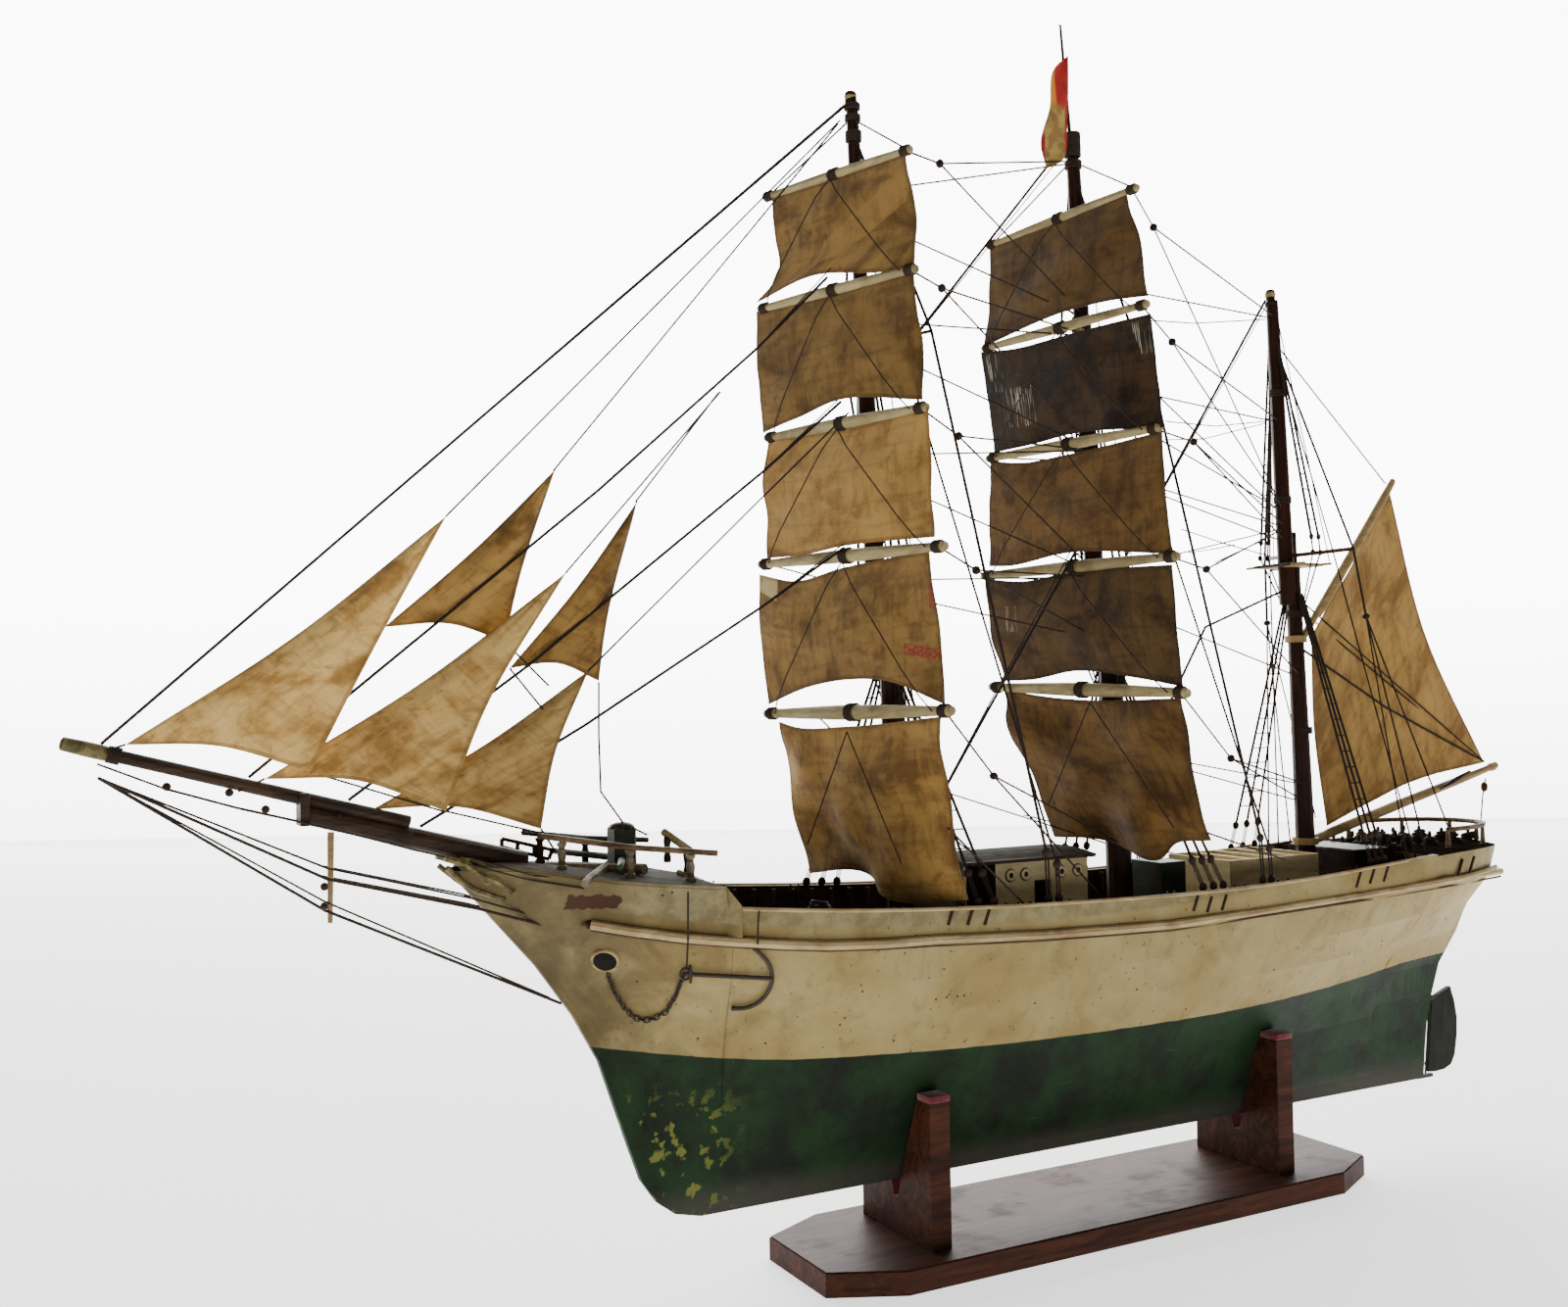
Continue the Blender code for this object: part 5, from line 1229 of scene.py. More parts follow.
def house_details(dark, green):
    """Ringed ports with painted shadow round the rings, painted shade in the doorways, roof edge and base strip of
    the deckhouse.
    """
    rings, glass_and_painted_shadow, plugs = [], [], []
    for side in (-1, 1):
        for x in FILLED_PORTS:
            plugs.append(turned(((0, 0.0046), (1, 0.0042)), (x, side * (HOUSE_SIDE - 0.001), FILLED_Z),
                                (x, side * (HOUSE_SIDE + 0.0004), FILLED_Z), 16))
        for x in HOUSE_PORTS:
            rings.append(hoop((x, side * (HOUSE_SIDE + 0.0014), PORT_Z), 0.0043, 0.0017, (0, 1, 0), 20))
            # The dark hoop just outside each ring is painted shadow round the ring; the small dark disc fills the
            # ring's middle.
            glass_and_painted_shadow.append(hoop((x, side * (HOUSE_SIDE + 0.0005), PORT_Z), 0.0061, 0.0009, (0, 1, 0), 20))
            glass_and_painted_shadow.append(turned(((0, 0.0030), (1, 0.0030)), (x, side * (HOUSE_SIDE - 0.001), PORT_Z),
                                (x, side * (HOUSE_SIDE + 0.0018), PORT_Z), 20))
    settled(joined(plugs), "port_plugs", bpy.data.materials["house_paint"])
    bone = wood("port_ring", (0.72, 0.61, 0.36), (0.50, 0.41, 0.22), FINE_GRAIN, 0.5, worn=0.2)
    settled(joined(rings), "porthole_rings", bone)
    settled(joined(glass_and_painted_shadow), "porthole_glass", dark)
    low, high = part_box("deckhouse_roof")
    edge = [block((low[0] - 0.0008, side * high[1] - 0.0012, low[2] - 0.0005),
                  (high[0] + 0.0008, side * high[1] + 0.0012, low[2] + 0.0032)) for side in (-1, 1)]
    settled(joined(edge), "roof_edge", dark)
    # Thin very dark blocks in the doorways: painted shade in the openings.
    painted_shade = wood("house_dark", (0.014, 0.010, 0.007), (0.006, 0.005, 0.004), EVEN_GRAIN, 0.9)
    gaps = []
    for side in (-1, 1):
        y = side * (HOUSE_SIDE + 0.0002)
        gaps += [block((x0, y - 0.0005, HOUSE_FLOOR), (x1, y + 0.0005, z1), 0.0002) for x0, x1, z1 in HOUSE_GAPS]
    settled(joined(gaps), "house_openings", painted_shade)
    low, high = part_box("deckhouse")
    strips = [block((-0.149, side * HOUSE_SIDE - 0.0011, low[2] + 0.0002),
                    (high[0] + 0.001, side * HOUSE_SIDE + 0.0011, low[2] + 0.0040)) for side in (-1, 1)]
    settled(joined(strips), "house_base", green)


def on_forecastle(x, y):
    """The place on the forecastle deck straight below a point."""
    hit, place, _, _ = NODES["forecastle_deck"].ray_cast((x, y, 1.0), (0, 0, -1))
    return place.copy() if hit else Vector((x, y, FORECASTLE_Z))


def bow_details(pale, dark, bark, rope):
    """Scrolls, worn rails, posts and lines of the forecastle."""
    carving = [([on_piece("hull", p, 0.0008, -0.014) for p in knots], (0.0026 - 0.0006 * k) * 1.35)
               for k, knots in enumerate(SCROLLS)]
    lines("trailboard_port", carving, bark)
    lines("trailboard_starboard", [([mirrored(p) for p in points], r) for points, r in carving], bark)
    knob = on_piece("hull", (602, 943), 0.001, -0.05)
    settled(joined([bead(flip(knob), 0.0045) for flip in FLIPS]), "wale_knobs", dark)
    feet = [on_piece("forecastle_deck", p, 0.0, -0.03) for p in ((681, 880), (701, 894))]
    heads = [foot + up(0.026) for foot in feet]
    post = ((0, 0.0032), (0.15, 0.0036), (0.4, 0.0024), (0.75, 0.0036), (1, 0.0026))
    settled(joined([turned(post, foot, head) for foot, head in zip(feet, heads)]), "bolster_posts", dark)
    along = (heads[1] - heads[0]).normalized() * 0.006
    settled(turned(((0, 0.0020), (0.05, 0.0036), (0.95, 0.0036), (1, 0.0020)), heads[0] - along, heads[1] + along),
            "bolster", pale)
    timber = [on_piece("forecastle_deck", (692, 893), 0.0028, -0.06),
              on_piece("bulwark_port", (733, 908), 0.003, -0.08)]
    settled(turned(((0, 0.0030), (1, 0.0030)), *timber, 6), "break_timber", pale)
    lines("bow_ladder", [([on_middle(a, 0.030), on_middle(b, 0.030)], 0.0020) for a, b in LADDER], dark)
    runs = [([on_piece("hull", p, 0.0014, -0.06) for p in knots], 0.0008) for knots in SIDE_LINES]
    runs += [([mirrored(p) for p in points], r) for points, r in runs]
    lines("bow_side_lines", runs, rope)
    beam = [on_piece("forecastle_deck", (626, 886), 0.006, -0.05), on_middle((597, 902), -0.088)]
    bare = wood("bare_timber", (0.33, 0.27, 0.17), (0.14, 0.11, 0.07), EVEN_GRAIN, 0.6, worn=0.6)
    catheads = [turned(((0, 0.0052), (0.9, 0.0050), (1, 0.0036)), flip(beam[0]), flip(beam[1]), 8)
                for flip in FLIPS]
    settled(joined(catheads), "catheads", bare)
    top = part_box("forecastle_bitts")[1][2]
    settled(bead((-0.545, 0, top - 0.001), 0.0125, 0.42), "bitts_cap", dark)
    turnings = ((0, 0.0048), (0.12, 0.0050), (0.2, 0.0030), (0.55, 0.0042), (0.8, 0.0026), (0.92, 0.0046),
                (1, 0.0046))
    for side, tag, finish in ((-1, "port", bare), (1, "starboard", dark)):
        posts = []
        for x, y in RAIL_POSTS:
            foot = on_forecastle(x, side * y)
            posts.append(turned(turnings, foot, foot + up(0.024), 10))
        settled(joined(posts), "rail_posts_" + tag, finish)
    tip, root = spar_ends("jibboom", 0)
    along = (root - tip).normalized()
    settled(turned(((0, 0.0030), (0.06, 0.0056), (0.5, 0.0062), (0.94, 0.0062), (1, 0.0050)), tip - along * 0.001,
                   tip + along * 0.036), "jibboom_cap", bark)
    coil = lashing(0.0066, 6, 0.0009)
    coil.matrix_world = pointed(tip + along * 0.040, along)
    settled(coil, "jibboom_lashing", rope)
    settled(joined([bead(on_middle(p, -0.006), 0.0036) for p in JIBBOOM_BLOCKS]), "jibboom_blocks", dark)


def deck_details(dark, rope):
    """Frames inside the bulwarks, belaying pins and coils."""
    model = block((-0.0022, -0.0028, -0.024), (0.0022, 0.0022, 0.0), 0.0004)
    places = []
    x = -0.470
    while x < 0.430:
        for side in (-1, 1):
            places.append((rail_at(x, side, 0.0075) - up(0.003), (0, 0, 1)))
        x += FRAME_STEP
    copies_of(model, places, "bulwark_frames", dark)
    pin = turned(((0, 0.0010), (0.5, 0.0012), (0.56, 0.0022), (0.8, 0.0018), (1, 0.0010)), (0, 0, -0.010),
                 (0, 0, 0.010), 8)
    spots, coils = [], []
    for side in (-1, 1):
        for k, x in enumerate(PIN_PLACES):
            place = rail_at(x, side, 0.011) + up(-0.008)
            spots.append((place, (0, 0, 1)))
            if k % 2:
                for j in range(3):
                    coils.append(hoop(place - Vector((0, side * 0.002, 0.016 + 0.001 * j)), 0.0075 - 0.0008 * j,
                                      0.0007, (0.2 * j, 1, 0.1), 14))
    copies_of(pin, spots, "belaying_pins", dark)
    heaps = []
    for x, y in DECK_HEAPS:
        for j in range(4):
            heaps.append(hoop((x + 0.001 * (j % 2), y, 0.352 + 0.0021 * j), 0.0115 - 0.0011 * j, 0.0013,
                              (0.05 * j, 0, 1), 16))
    for k, pixel in enumerate(POOP_HEAPS):
        seen = on_piece("hull", pixel, 0.0, -0.07)
        for base in (seen, mirrored(seen)):
            for j in range(3 + k % 3):
                heaps.append(hoop(base + Vector((0.0015 * (j % 2), 0, 0.0016 + 0.0023 * j)),
                                  0.0085 + 0.0018 * (k % 2) - 0.0012 * j, 0.0014,
                                  (0.15 * (j % 3 - 1), 0.2 * (k % 2), 1), 14))
            heaps.append(turned(((0, 0.0014), (0.6, 0.0014), (0.7, 0.0026), (1, 0.0016)), base,
                                base + up(0.017), 8))
    settled(joined(heaps), "deck_coils", rope)
    settled(joined(coils), "pin_coils", rope)


def mast_girth(mast, z):
    """A mast's radius at a height."""
    heights, radii = zip(*MAST_GIRTHS[mast])
    return float(np.interp(z, heights, radii))


def mast_core(mast, z, upper=False):
    """The middle of a mast's full thickness, whose fore side stays where the yards need it."""
    upper = upper or z > PLATFORM_Z[mast] + 0.01
    low = (TOPMASTS if upper else LOWER)[mast][0]
    own = TOPMAST_CORE if upper else LOWER_CORE
    return Vector((low.x + FOOT_RAKE[mast] * (z - low.z) + max(0.0, mast_girth(mast, z) - own), 0, z))


def mast_skin(mast, knots, upper=False):
    """The full thickness of a mast between heights."""
    return joined([turned(((0, mast_girth(mast, low)), (1, mast_girth(mast, high))), mast_core(mast, low, upper),
                          mast_core(mast, high, upper), 16) for low, high in zip(knots, knots[1:])])


def spar_skins():
    """The masts' and yards' full thickness over their slimmer cores."""
    varnish, bone, boom = (bpy.data.materials[name] for name in ("mast_varnish", "yard_bone", "boom_bone"))
    for mast in ("fore", "main"):
        low, top = PLATFORM_Z[mast], TOPMASTS[mast][1].z - 0.012 if mast == "fore" else MAIN_HEAD
        for name, knots in (("_lower_skin", (0.336, 0.42, 0.50, 0.57, low - 0.012)),
                            ("_topmast_skin", (low + 0.014, 0.72, 0.80, 0.88, 0.96, 1.04, 1.12, top))):
            settled(mast_skin(mast, knots), mast + name, varnish)
        for tier, (end, middle) in YARD_GIRTHS.items():
            between = (end + middle) * 0.5
            tip, rim, neck = end * 0.5, end * 1.05, end * 0.92
            profile = ((0, tip), (0.006, rim), (0.04, rim), (0.055, neck), (0.25, between), (0.42, middle),
                       (0.58, middle), (0.75, between), (0.945, neck), (0.96, rim), (0.994, rim), (1, tip))
            settled(turned(profile, *ARMS[mast, tier], 14), f"{mast}_{tier}_skin", bone)
    knots = (PLATFORM_Z["mizzen"] - 0.045, 0.76, 0.84, 0.92, 0.99, TOPMASTS["mizzen"][1].z - 0.012)
    settled(mast_skin("mizzen", knots, True), "mizzen_topmast_skin", varnish)
    faces_to("mizzen_lower_mast", boom, lambda middle, normal: abs(middle.y) > 0.0125 and middle.z > 0.69)
    for name, profile, inner, outer in (
            ("gaff_skin", ((0, 0.0036), (0.05, 0.0048), (0.45, 0.0056), (0.85, 0.0050), (1, 0.0040)),
             (1345, 628), (1420.5, 492.5)),
            ("boom_skin", ((0, 0.0040), (0.03, 0.0050), (0.4, 0.0060), (0.8, 0.0052), (1, 0.0038)),
             (1352, 851), (1523, 782.5))):
        settled(turned(profile, on_middle(inner), on_middle(outer), 14), name, boom, "spanker")


def spar_details(dark, rope, pale):
    """Skins of the spars, bands on the masts, trucks, the boom's cleat and its ball."""
    spar_skins()
    bands = []
    for mast in MASTS:
        heights = MIZZEN_BANDS if mast == "mizzen" else [ARMS[mast, tier][0].lerp(ARMS[mast, tier][1], 0.5).z
                                                         for tier in TIERS]
        for z in heights:
            coil = lashing(mast_girth(mast, z) + 0.0007, 5, 0.0009)
            coil.location = mast_core(mast, z + 0.004)
            bands.append(coil)
        for pixel, turns in HEAD_LASHINGS.get(mast, ()):
            z = on_middle(pixel).z
            coil = lashing(mast_girth(mast, z) + 0.0012, turns, 0.0012)
            coil.location = mast_core(mast, z)
            bands.append(coil)
    settled(joined(bands), "mast_lashings", rope)
    trucks = [turned(((0, 0.0035), (0.25, 0.0062), (0.6, 0.0066), (0.9, 0.0045), (1, 0.0015)), top,
                     top + up(0.011))
              for top in (TOPMASTS[m][1] - up(0.010) for m in ("fore", "mizzen"))]
    settled(joined(trucks), "trucks", pale)
    settled(bead(on_middle((1523, 783)), 0.0050), "boom_ball", pale, "spanker")
    cleat = turned(((0, 0.0012), (0.4, 0.0030), (0.6, 0.0030), (1, 0.0012)), on_middle((1470, 805), -0.008),
                   on_middle((1500, 787), -0.008))
    settled(cleat, "boom_cleat", dark, "spanker")


def make_anchor(flip):
    """Shank, ring and round arms lying against the bow, with the chain to the hawse hole."""
    arms = [flip(on_piece("hull", run_of(ANCHOR_ARMS, k / 18), 0.0040, -0.08)) for k in range(19)]
    shank = [flip(on_piece("hull", p, 0.0055, -0.07)) for p in ANCHOR_SHANK]
    pieces = []
    for a, b in list(zip(arms, arms[1:])) + [tuple(shank)]:
        pieces.append(turned(((0, IRON), (1, IRON)), a, b, 8))
        pieces.append(bead(b, IRON))
    pieces += [bead(arms[0], 0.0026), bead(arms[-1], 0.0026), hoop(shank[0], 0.0052, 0.0012, (0, 1, 0), 14)]
    stock = shank[0].lerp(shank[1], 0.06)
    pieces.append(turned(((0, 0.0012), (0.5, 0.0024), (1, 0.0012)), stock + up(-0.008),
                         stock + up(0.008), 8))
    route = [flip(on_piece("hull", p, 0.0028, -0.05)) for p in CHAIN]
    lengths = [0.0]
    for a, b in zip(route, route[1:]):
        lengths.append(lengths[-1] + (b - a).length)
    count = int(lengths[-1] / CHAIN_PITCH)
    models = [hoop((0, 0, 0), 0.0023, 0.00075, axis, 10) for axis in ((1, 0, 0), (0, 1, 0))]
    for model in models:
        model.scale = (1, 1, 1.5)
        pick(model)
        bpy.ops.object.transform_apply(location=False, rotation=False, scale=True)
    for k in range(count + 1):
        at = lengths[-1] * k / count
        i = min(len(route) - 2, max(j for j in range(len(lengths)) if lengths[j] <= at + 1e-9))
        place = route[i].lerp(route[i + 1], (at - lengths[i]) / (lengths[i + 1] - lengths[i]))
        pieces.append(twin_of(models[k % 2], place, route[i + 1] - route[i]))
    for model in models:
        bpy.data.objects.remove(model)
    return joined(pieces)


def nearest_skin(pixel, nodes=("hull", "bulwark_port", "forecastle_deck"), lift=0.0):
    """The outermost of some carried pieces at a pixel."""
    return min((on_piece(node, pixel, lift, MISSED_Y) for node in nodes), key=lambda p: (p - CAMERA_PLACE).length)


def on_wale(pixel, lift=0.0):
    """The outer skin of hull and bulwark at a pixel, or beside the stem and stern where both are missed."""
    nearest = nearest_skin(pixel, ("hull", "bulwark_port"), lift)
    return nearest if nearest.y < MISSED_Y - 0.2 else on_middle(pixel, -0.06)


def hull_details(hull, pale, rope, iron):
    """Wale with a painted shadow under it, break of the forecastle, hawse holes with painted shade inside, anchors
    and their cords.
    """
    # Very dark finish: painted shade inside the hawse holes.
    painted_shade = wood("hole_black", (0.012, 0.010, 0.008), (0.006, 0.005, 0.004), EVEN_GRAIN, 0.9)
    wale = wood("wale_paint", (0.50, 0.385, 0.195), (0.30, 0.205, 0.095), (14.0, 60.0, 60.0), 0.45,
                dirt=(0.15, 0.075, 0.040), worn=0.55)
    both_sides("wale", lambda flip: strip([flip(on_wale(p, 0.0008)) for p in WALE_LINE], 0.0044), wale)
    # The thin dark strip just under the wale is painted shadow of the wale on the hull.
    seam = wood("wale_shadow", (0.11, 0.078, 0.040), (0.055, 0.038, 0.020), (14.0, 60.0, 60.0), 0.8)
    under = [(x, y + 5.4) for x, y in WALE_LINE]
    both_sides("wale_seam", lambda flip: strip([flip(on_wale(p, 0.0006)) for p in under], 0.0013), seam)
    cap = [rail_at(-0.474 + 0.0285 * k, -1, -0.0042) + up(0.0002) for k in range(31)]
    both_sides("cap_edge", lambda flip: strip([flip(p) for p in cap], 0.0019), wale)
    corners = [on_piece("hull", (741, 905), 0.0004, -0.105), on_middle((757.5, 925), -0.1098),
               on_middle((758, 957), -0.1085), on_piece("hull", (742, 957), 0.0004, -0.105)]
    both_sides("break_plate", lambda flip: plate([flip(c) for c in corners], 0.0016), hull)
    nearby = [on_piece("hull", (HAWSE[0] + dx, HAWSE[1] + dy), 0.0, -0.04)
              for dx, dy in ((16, 0), (0, 16), (-16, 0), (0, -16))]
    hole = sum(nearby, Vector()) / 4
    normal = (nearby[0] - nearby[2]).cross(nearby[1] - nearby[3]).normalized()
    if normal.y > 0:
        normal = -normal
    both_sides("hawse_lip", lambda flip: hoop(flip(hole + normal * 0.0004), 0.0118, 0.0020, flip(normal), 24),
               pale)
    # The dark disc in each hawse hole is painted shade, standing for the hole's dark inside.
    both_sides("hawse_dark", lambda flip: turned(((0, 0.0116), (1, 0.0116)), flip(hole - normal * 0.002),
                                                 flip(hole + normal * 0.0020), 24), painted_shade)
    for obj, node in zip(both_sides("anchor", make_anchor, iron), ("anchor_port", "anchor_starboard")):
        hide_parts(node)
    runs = []
    for knots in ANCHOR_CORDS:
        clear = [0.0065] * (len(knots) - 1) + [0.0035]
        runs.append(([nearest_skin(p) - Vector((0, gap, 0)) for p, gap in zip(knots, clear)], 0.0009))
    lines("anchor_cords", runs + [([mirrored(p) for p in points], r) for points, r in runs], rope)
    for name in ("stand_cradle_fore", "stand_cradle_aft"):
        co = points_of(name)
        top = co[co[:, 2] > co[:, 2].max() - 0.002]
        caps = []
        for side in (-1, 1):
            arm = top[top[:, 1] * side > 0]
            low, high = arm.min(0), arm.max(0)
            caps.append(block((low[0] - 0.0006, low[1] - 0.0008, high[2] - 0.0050),
                              (high[0] + 0.0006, high[1] + 0.0008, high[2] + 0.0016), 0.0007))
        settled(joined(caps), name.replace("stand_", "") + "_velvet", velvet())


# Properties

class BARQUE_PG_paint(bpy.types.PropertyGroup):
    """Colours of the paint."""
    cream: bpy.props.FloatVectorProperty(
        name="Cream", description="Topside paint", size=3, subtype="COLOR",
        default=(0.335, 0.262, 0.112), min=0, max=1)
    cream_aged: bpy.props.FloatVectorProperty(
        name="Aged cream", description="Yellowed paint", size=3,
        subtype="COLOR", default=(0.270, 0.192, 0.068), min=0, max=1)
    cream_stain: bpy.props.FloatVectorProperty(
        name="Stain", description="Brown stains on the cream", size=3,
        subtype="COLOR", default=(0.145, 0.098, 0.036), min=0, max=1)
    green: bpy.props.FloatVectorProperty(
        name="Green", description="Bottom paint", size=3, subtype="COLOR",
        default=(0.010, 0.030, 0.009), min=0, max=1)
    green_dark: bpy.props.FloatVectorProperty(
        name="Dark green", description="Dark parts of the bottom paint",
        size=3, subtype="COLOR", default=(0.008, 0.011, 0.006), min=0, max=1)


class BARQUE_PG_rig(bpy.types.PropertyGroup):
    """Sizes of the rigging."""
    thick: bpy.props.FloatProperty(
        name="Stay", description="Radius of stays and shrouds", unit="LENGTH",
        default=0.0015, min=0.0003, max=0.003)
    thin: bpy.props.FloatProperty(
        name="Line", description="Radius of running lines", unit="LENGTH",
        default=0.0010, min=0.0002, max=0.002)
    deadeye: bpy.props.FloatProperty(
        name="Deadeye", description="Radius of a deadeye", unit="LENGTH",
        default=0.0050, min=0.001, max=0.01)
    block: bpy.props.FloatProperty(
        name="Block", description="Radius of a block", unit="LENGTH",
        default=0.0046, min=0.001, max=0.01)


class BARQUE_PG_stage(bpy.types.PropertyGroup):
    """Light and floor."""
    floor: bpy.props.FloatVectorProperty(
        name="Floor", description="Colour of the floor", size=3, subtype="COLOR",
        default=(0.86, 0.86, 0.86), min=0, max=1)
    key: bpy.props.FloatProperty(
        name="Key light", description="Power of the key light in watts", default=16.0,
        min=0)
    glow: bpy.props.FloatProperty(
        name="Backdrop light", description="Strength of the lit backdrop", default=9.5,
        min=0)
    fill: bpy.props.FloatProperty(
        name="Fill light", description="Strength of the soft light all round",
        default=0.12, min=0)


# Operators

class BARQUE_OT_paint(bpy.types.Operator):
    """Give every carried piece its finish"""
    bl_idname = "barque.paint"
    bl_label = "Paint the hull, deck and spars"

    def execute(self, context):
        look = context.scene.barque_paint
        hull, deck, green, iron = hull_paint(look), deck_paint(0.34), green_paint(), old_iron()
        stand = wood("stand_stain", (0.080, 0.026, 0.013), (0.024, 0.009, 0.005), (6.0, 60.0, 60.0), 0.55)
        mast = wood("mast_varnish", (0.038, 0.012, 0.005), (0.010, 0.004, 0.0025), (90.0, 90.0, 7.0), 0.42,
                    gloss=0.03)
        spar = wood("yard_bone", (0.42, 0.34, 0.165), (0.23, 0.18, 0.085), (60.0, 7.0, 60.0), 0.55,
                    dirt=(0.05, 0.04, 0.025), worn=0.5)
        boom = wood("boom_bone", (0.40, 0.28, 0.12), (0.24, 0.155, 0.065), (7.0, 60.0, 60.0), 0.5,
                    dirt=(0.05, 0.035, 0.02), worn=0.45)
        bow = wood("bow_varnish", (0.062, 0.034, 0.019), (0.020, 0.013, 0.008), (9.0, 90.0, 90.0), 0.50,
                   gloss=0.04, worn=0.7)
        house = wood("house_paint", (0.62, 0.51, 0.270), (0.46, 0.365, 0.170), (9.0, 9.0, 30.0), 0.55,
                     dirt=(0.20, 0.135, 0.07), worn=0.45)
        worn_rail = wood("worn_rail", (0.26, 0.17, 0.085), (0.070, 0.040, 0.024), (20.0, 60.0, 60.0), 0.55,
                         worn=0.8)
        dark = wood("dark_wood", (0.045, 0.026, 0.017), (0.018, 0.011, 0.008), (9.0, 70.0, 70.0), 0.5)
        tarred = wood("tarred_board", (0.020, 0.021, 0.015), (0.010, 0.012, 0.008), (60.0, 60.0, 9.0), 0.6,
                      worn=0.4)
        rope = cordage("dark_cord", (0.035, 0.022, 0.014))
        finishes = {
            "hull": hull, "bulwark_port": hull, "bulwark_starboard": hull, "forecastle_deck": deck,
            "forecastle_rail_port": worn_rail, "forecastle_rail_starboard": dark, "forecastle_bitts": green,
            "deckhouse": house, "deckhouse_roof": deck, "deck_locker": green, "open_cabin": house,
            "aft_coaming": dark, "taffrail": worn_rail, "rudder": tarred, "bowsprit": bow, "jibboom": bow,
            "dolphin_striker": boom, "spanker_boom": boom, "spanker_gaff": boom}
        for name, obj in NODES.items():
            if name in finishes:
                made = finishes[name]
            elif name.startswith("stand"):
                made = stand
            elif name.endswith("_yard"):
                made = spar
            elif name.endswith("mast"):
                made = mast
            elif name.startswith("anchor"):
                made = iron
            elif name.endswith("_stays"):
                made = rope
            else:
                continue
            obj.data.materials.clear()
            obj.data.materials.append(made)
            smooth_angle(obj, 30)
        for name in ("bulwark_port", "bulwark_starboard"):
            faces_to(name, dark, lambda middle, normal: normal.y * middle.y < 0 and abs(normal.y) > 0.3)
        faces_to("deckhouse", dark, lambda middle, normal: (
            (normal.y * (middle.y or 1e-9) < 0 and abs(middle.y) < 0.0465)
            or (middle.x < -0.1541 and abs(middle.y) < 0.046)))
        faces_to("forecastle_deck", hull, lambda middle, normal: abs(normal.z) < 0.6)
        faces_to("hull", deck_paint(0.07, 0.0), lambda middle, normal: middle.z > 0.27 and (
            normal.z > 0.6 or (normal.y * middle.y < 0 and abs(normal.y) > 0.3)))
        for name in ("stand_cradle_fore", "stand_cradle_aft"):
            faces_to(name, velvet(), lambda middle, normal: middle.z > 0.055 and (
                normal.z > 0.5 or normal.y * middle.y < -0.0005) and abs(normal.x) < 0.5)
        return {"FINISHED"}


class BARQUE_OT_fittings(bpy.types.Operator):
    """Add ports, carvings, rails, frames, pins, painted shade in the slots, and bands"""
    bl_idname = "barque.fittings"
    bl_label = "Small fittings"

    def execute(self, context):
        look = context.scene.barque_paint
        pale = trim_paint(look)
        dark = wood("fitting_wood", (0.050, 0.028, 0.017), (0.018, 0.010, 0.007), EVEN_GRAIN, 0.5)
        frame_wood = wood("frame_wood", (0.070, 0.032, 0.020), (0.028, 0.014, 0.009), (70.0, 70.0, 12.0), 0.6)
        rope = cordage("fitting_cord", (0.040, 0.028, 0.020))
        bark = wood("gilt_scroll", (0.24, 0.19, 0.075), (0.060, 0.052, 0.022), EVEN_GRAIN, 0.5, worn=0.6)
        house_details(dark, green_paint())
        bow_details(pale, dark, bark, rope)
        deck_details(frame_wood, rope)
        spar_details(dark, rope, pale)
        hull_details(hull_paint(look), pale, rope, old_iron())
        painted_slot_shades, nails = [], []
        # Each slot in the bulwark is a dark rod laid on its face: painted shade in the opening.
        for pixel in SLOTS:
            a, b = (on_piece("bulwark_port", (pixel[0] + s * 2.4, pixel[1] - s * 8), 0.0, -0.105) for s in (-1, 1))
            painted_slot_shades += [([a, b], 0.0018), ([mirrored(a), mirrored(b)], 0.0018)]
        lines("bulwark_slots", painted_slot_shades, dark)
        for pixel in NAILS:
            place = on_piece("hull", pixel, -0.0004, -0.11)
            nails += [bead(place, 0.0013), bead(mirrored(place), 0.0013)]
        settled(joined(nails), "nails", old_iron())
        return {"FINISHED"}


class BARQUE_OT_sails(bpy.types.Operator):
    """Set the square sails, the headsails and the spanker"""
    bl_idname = "barque.sails"
    bl_label = "Set the sails"

    def execute(self, context):
        for order, (mast, tier) in enumerate(SQUARE):
            make_square_sail(mast, tier, order)
        for order, (name, row) in enumerate(HEADSAILS.items()):
            make_headsail(name, row, order)
        make_spanker()
        make_flag()
        return {"FINISHED"}


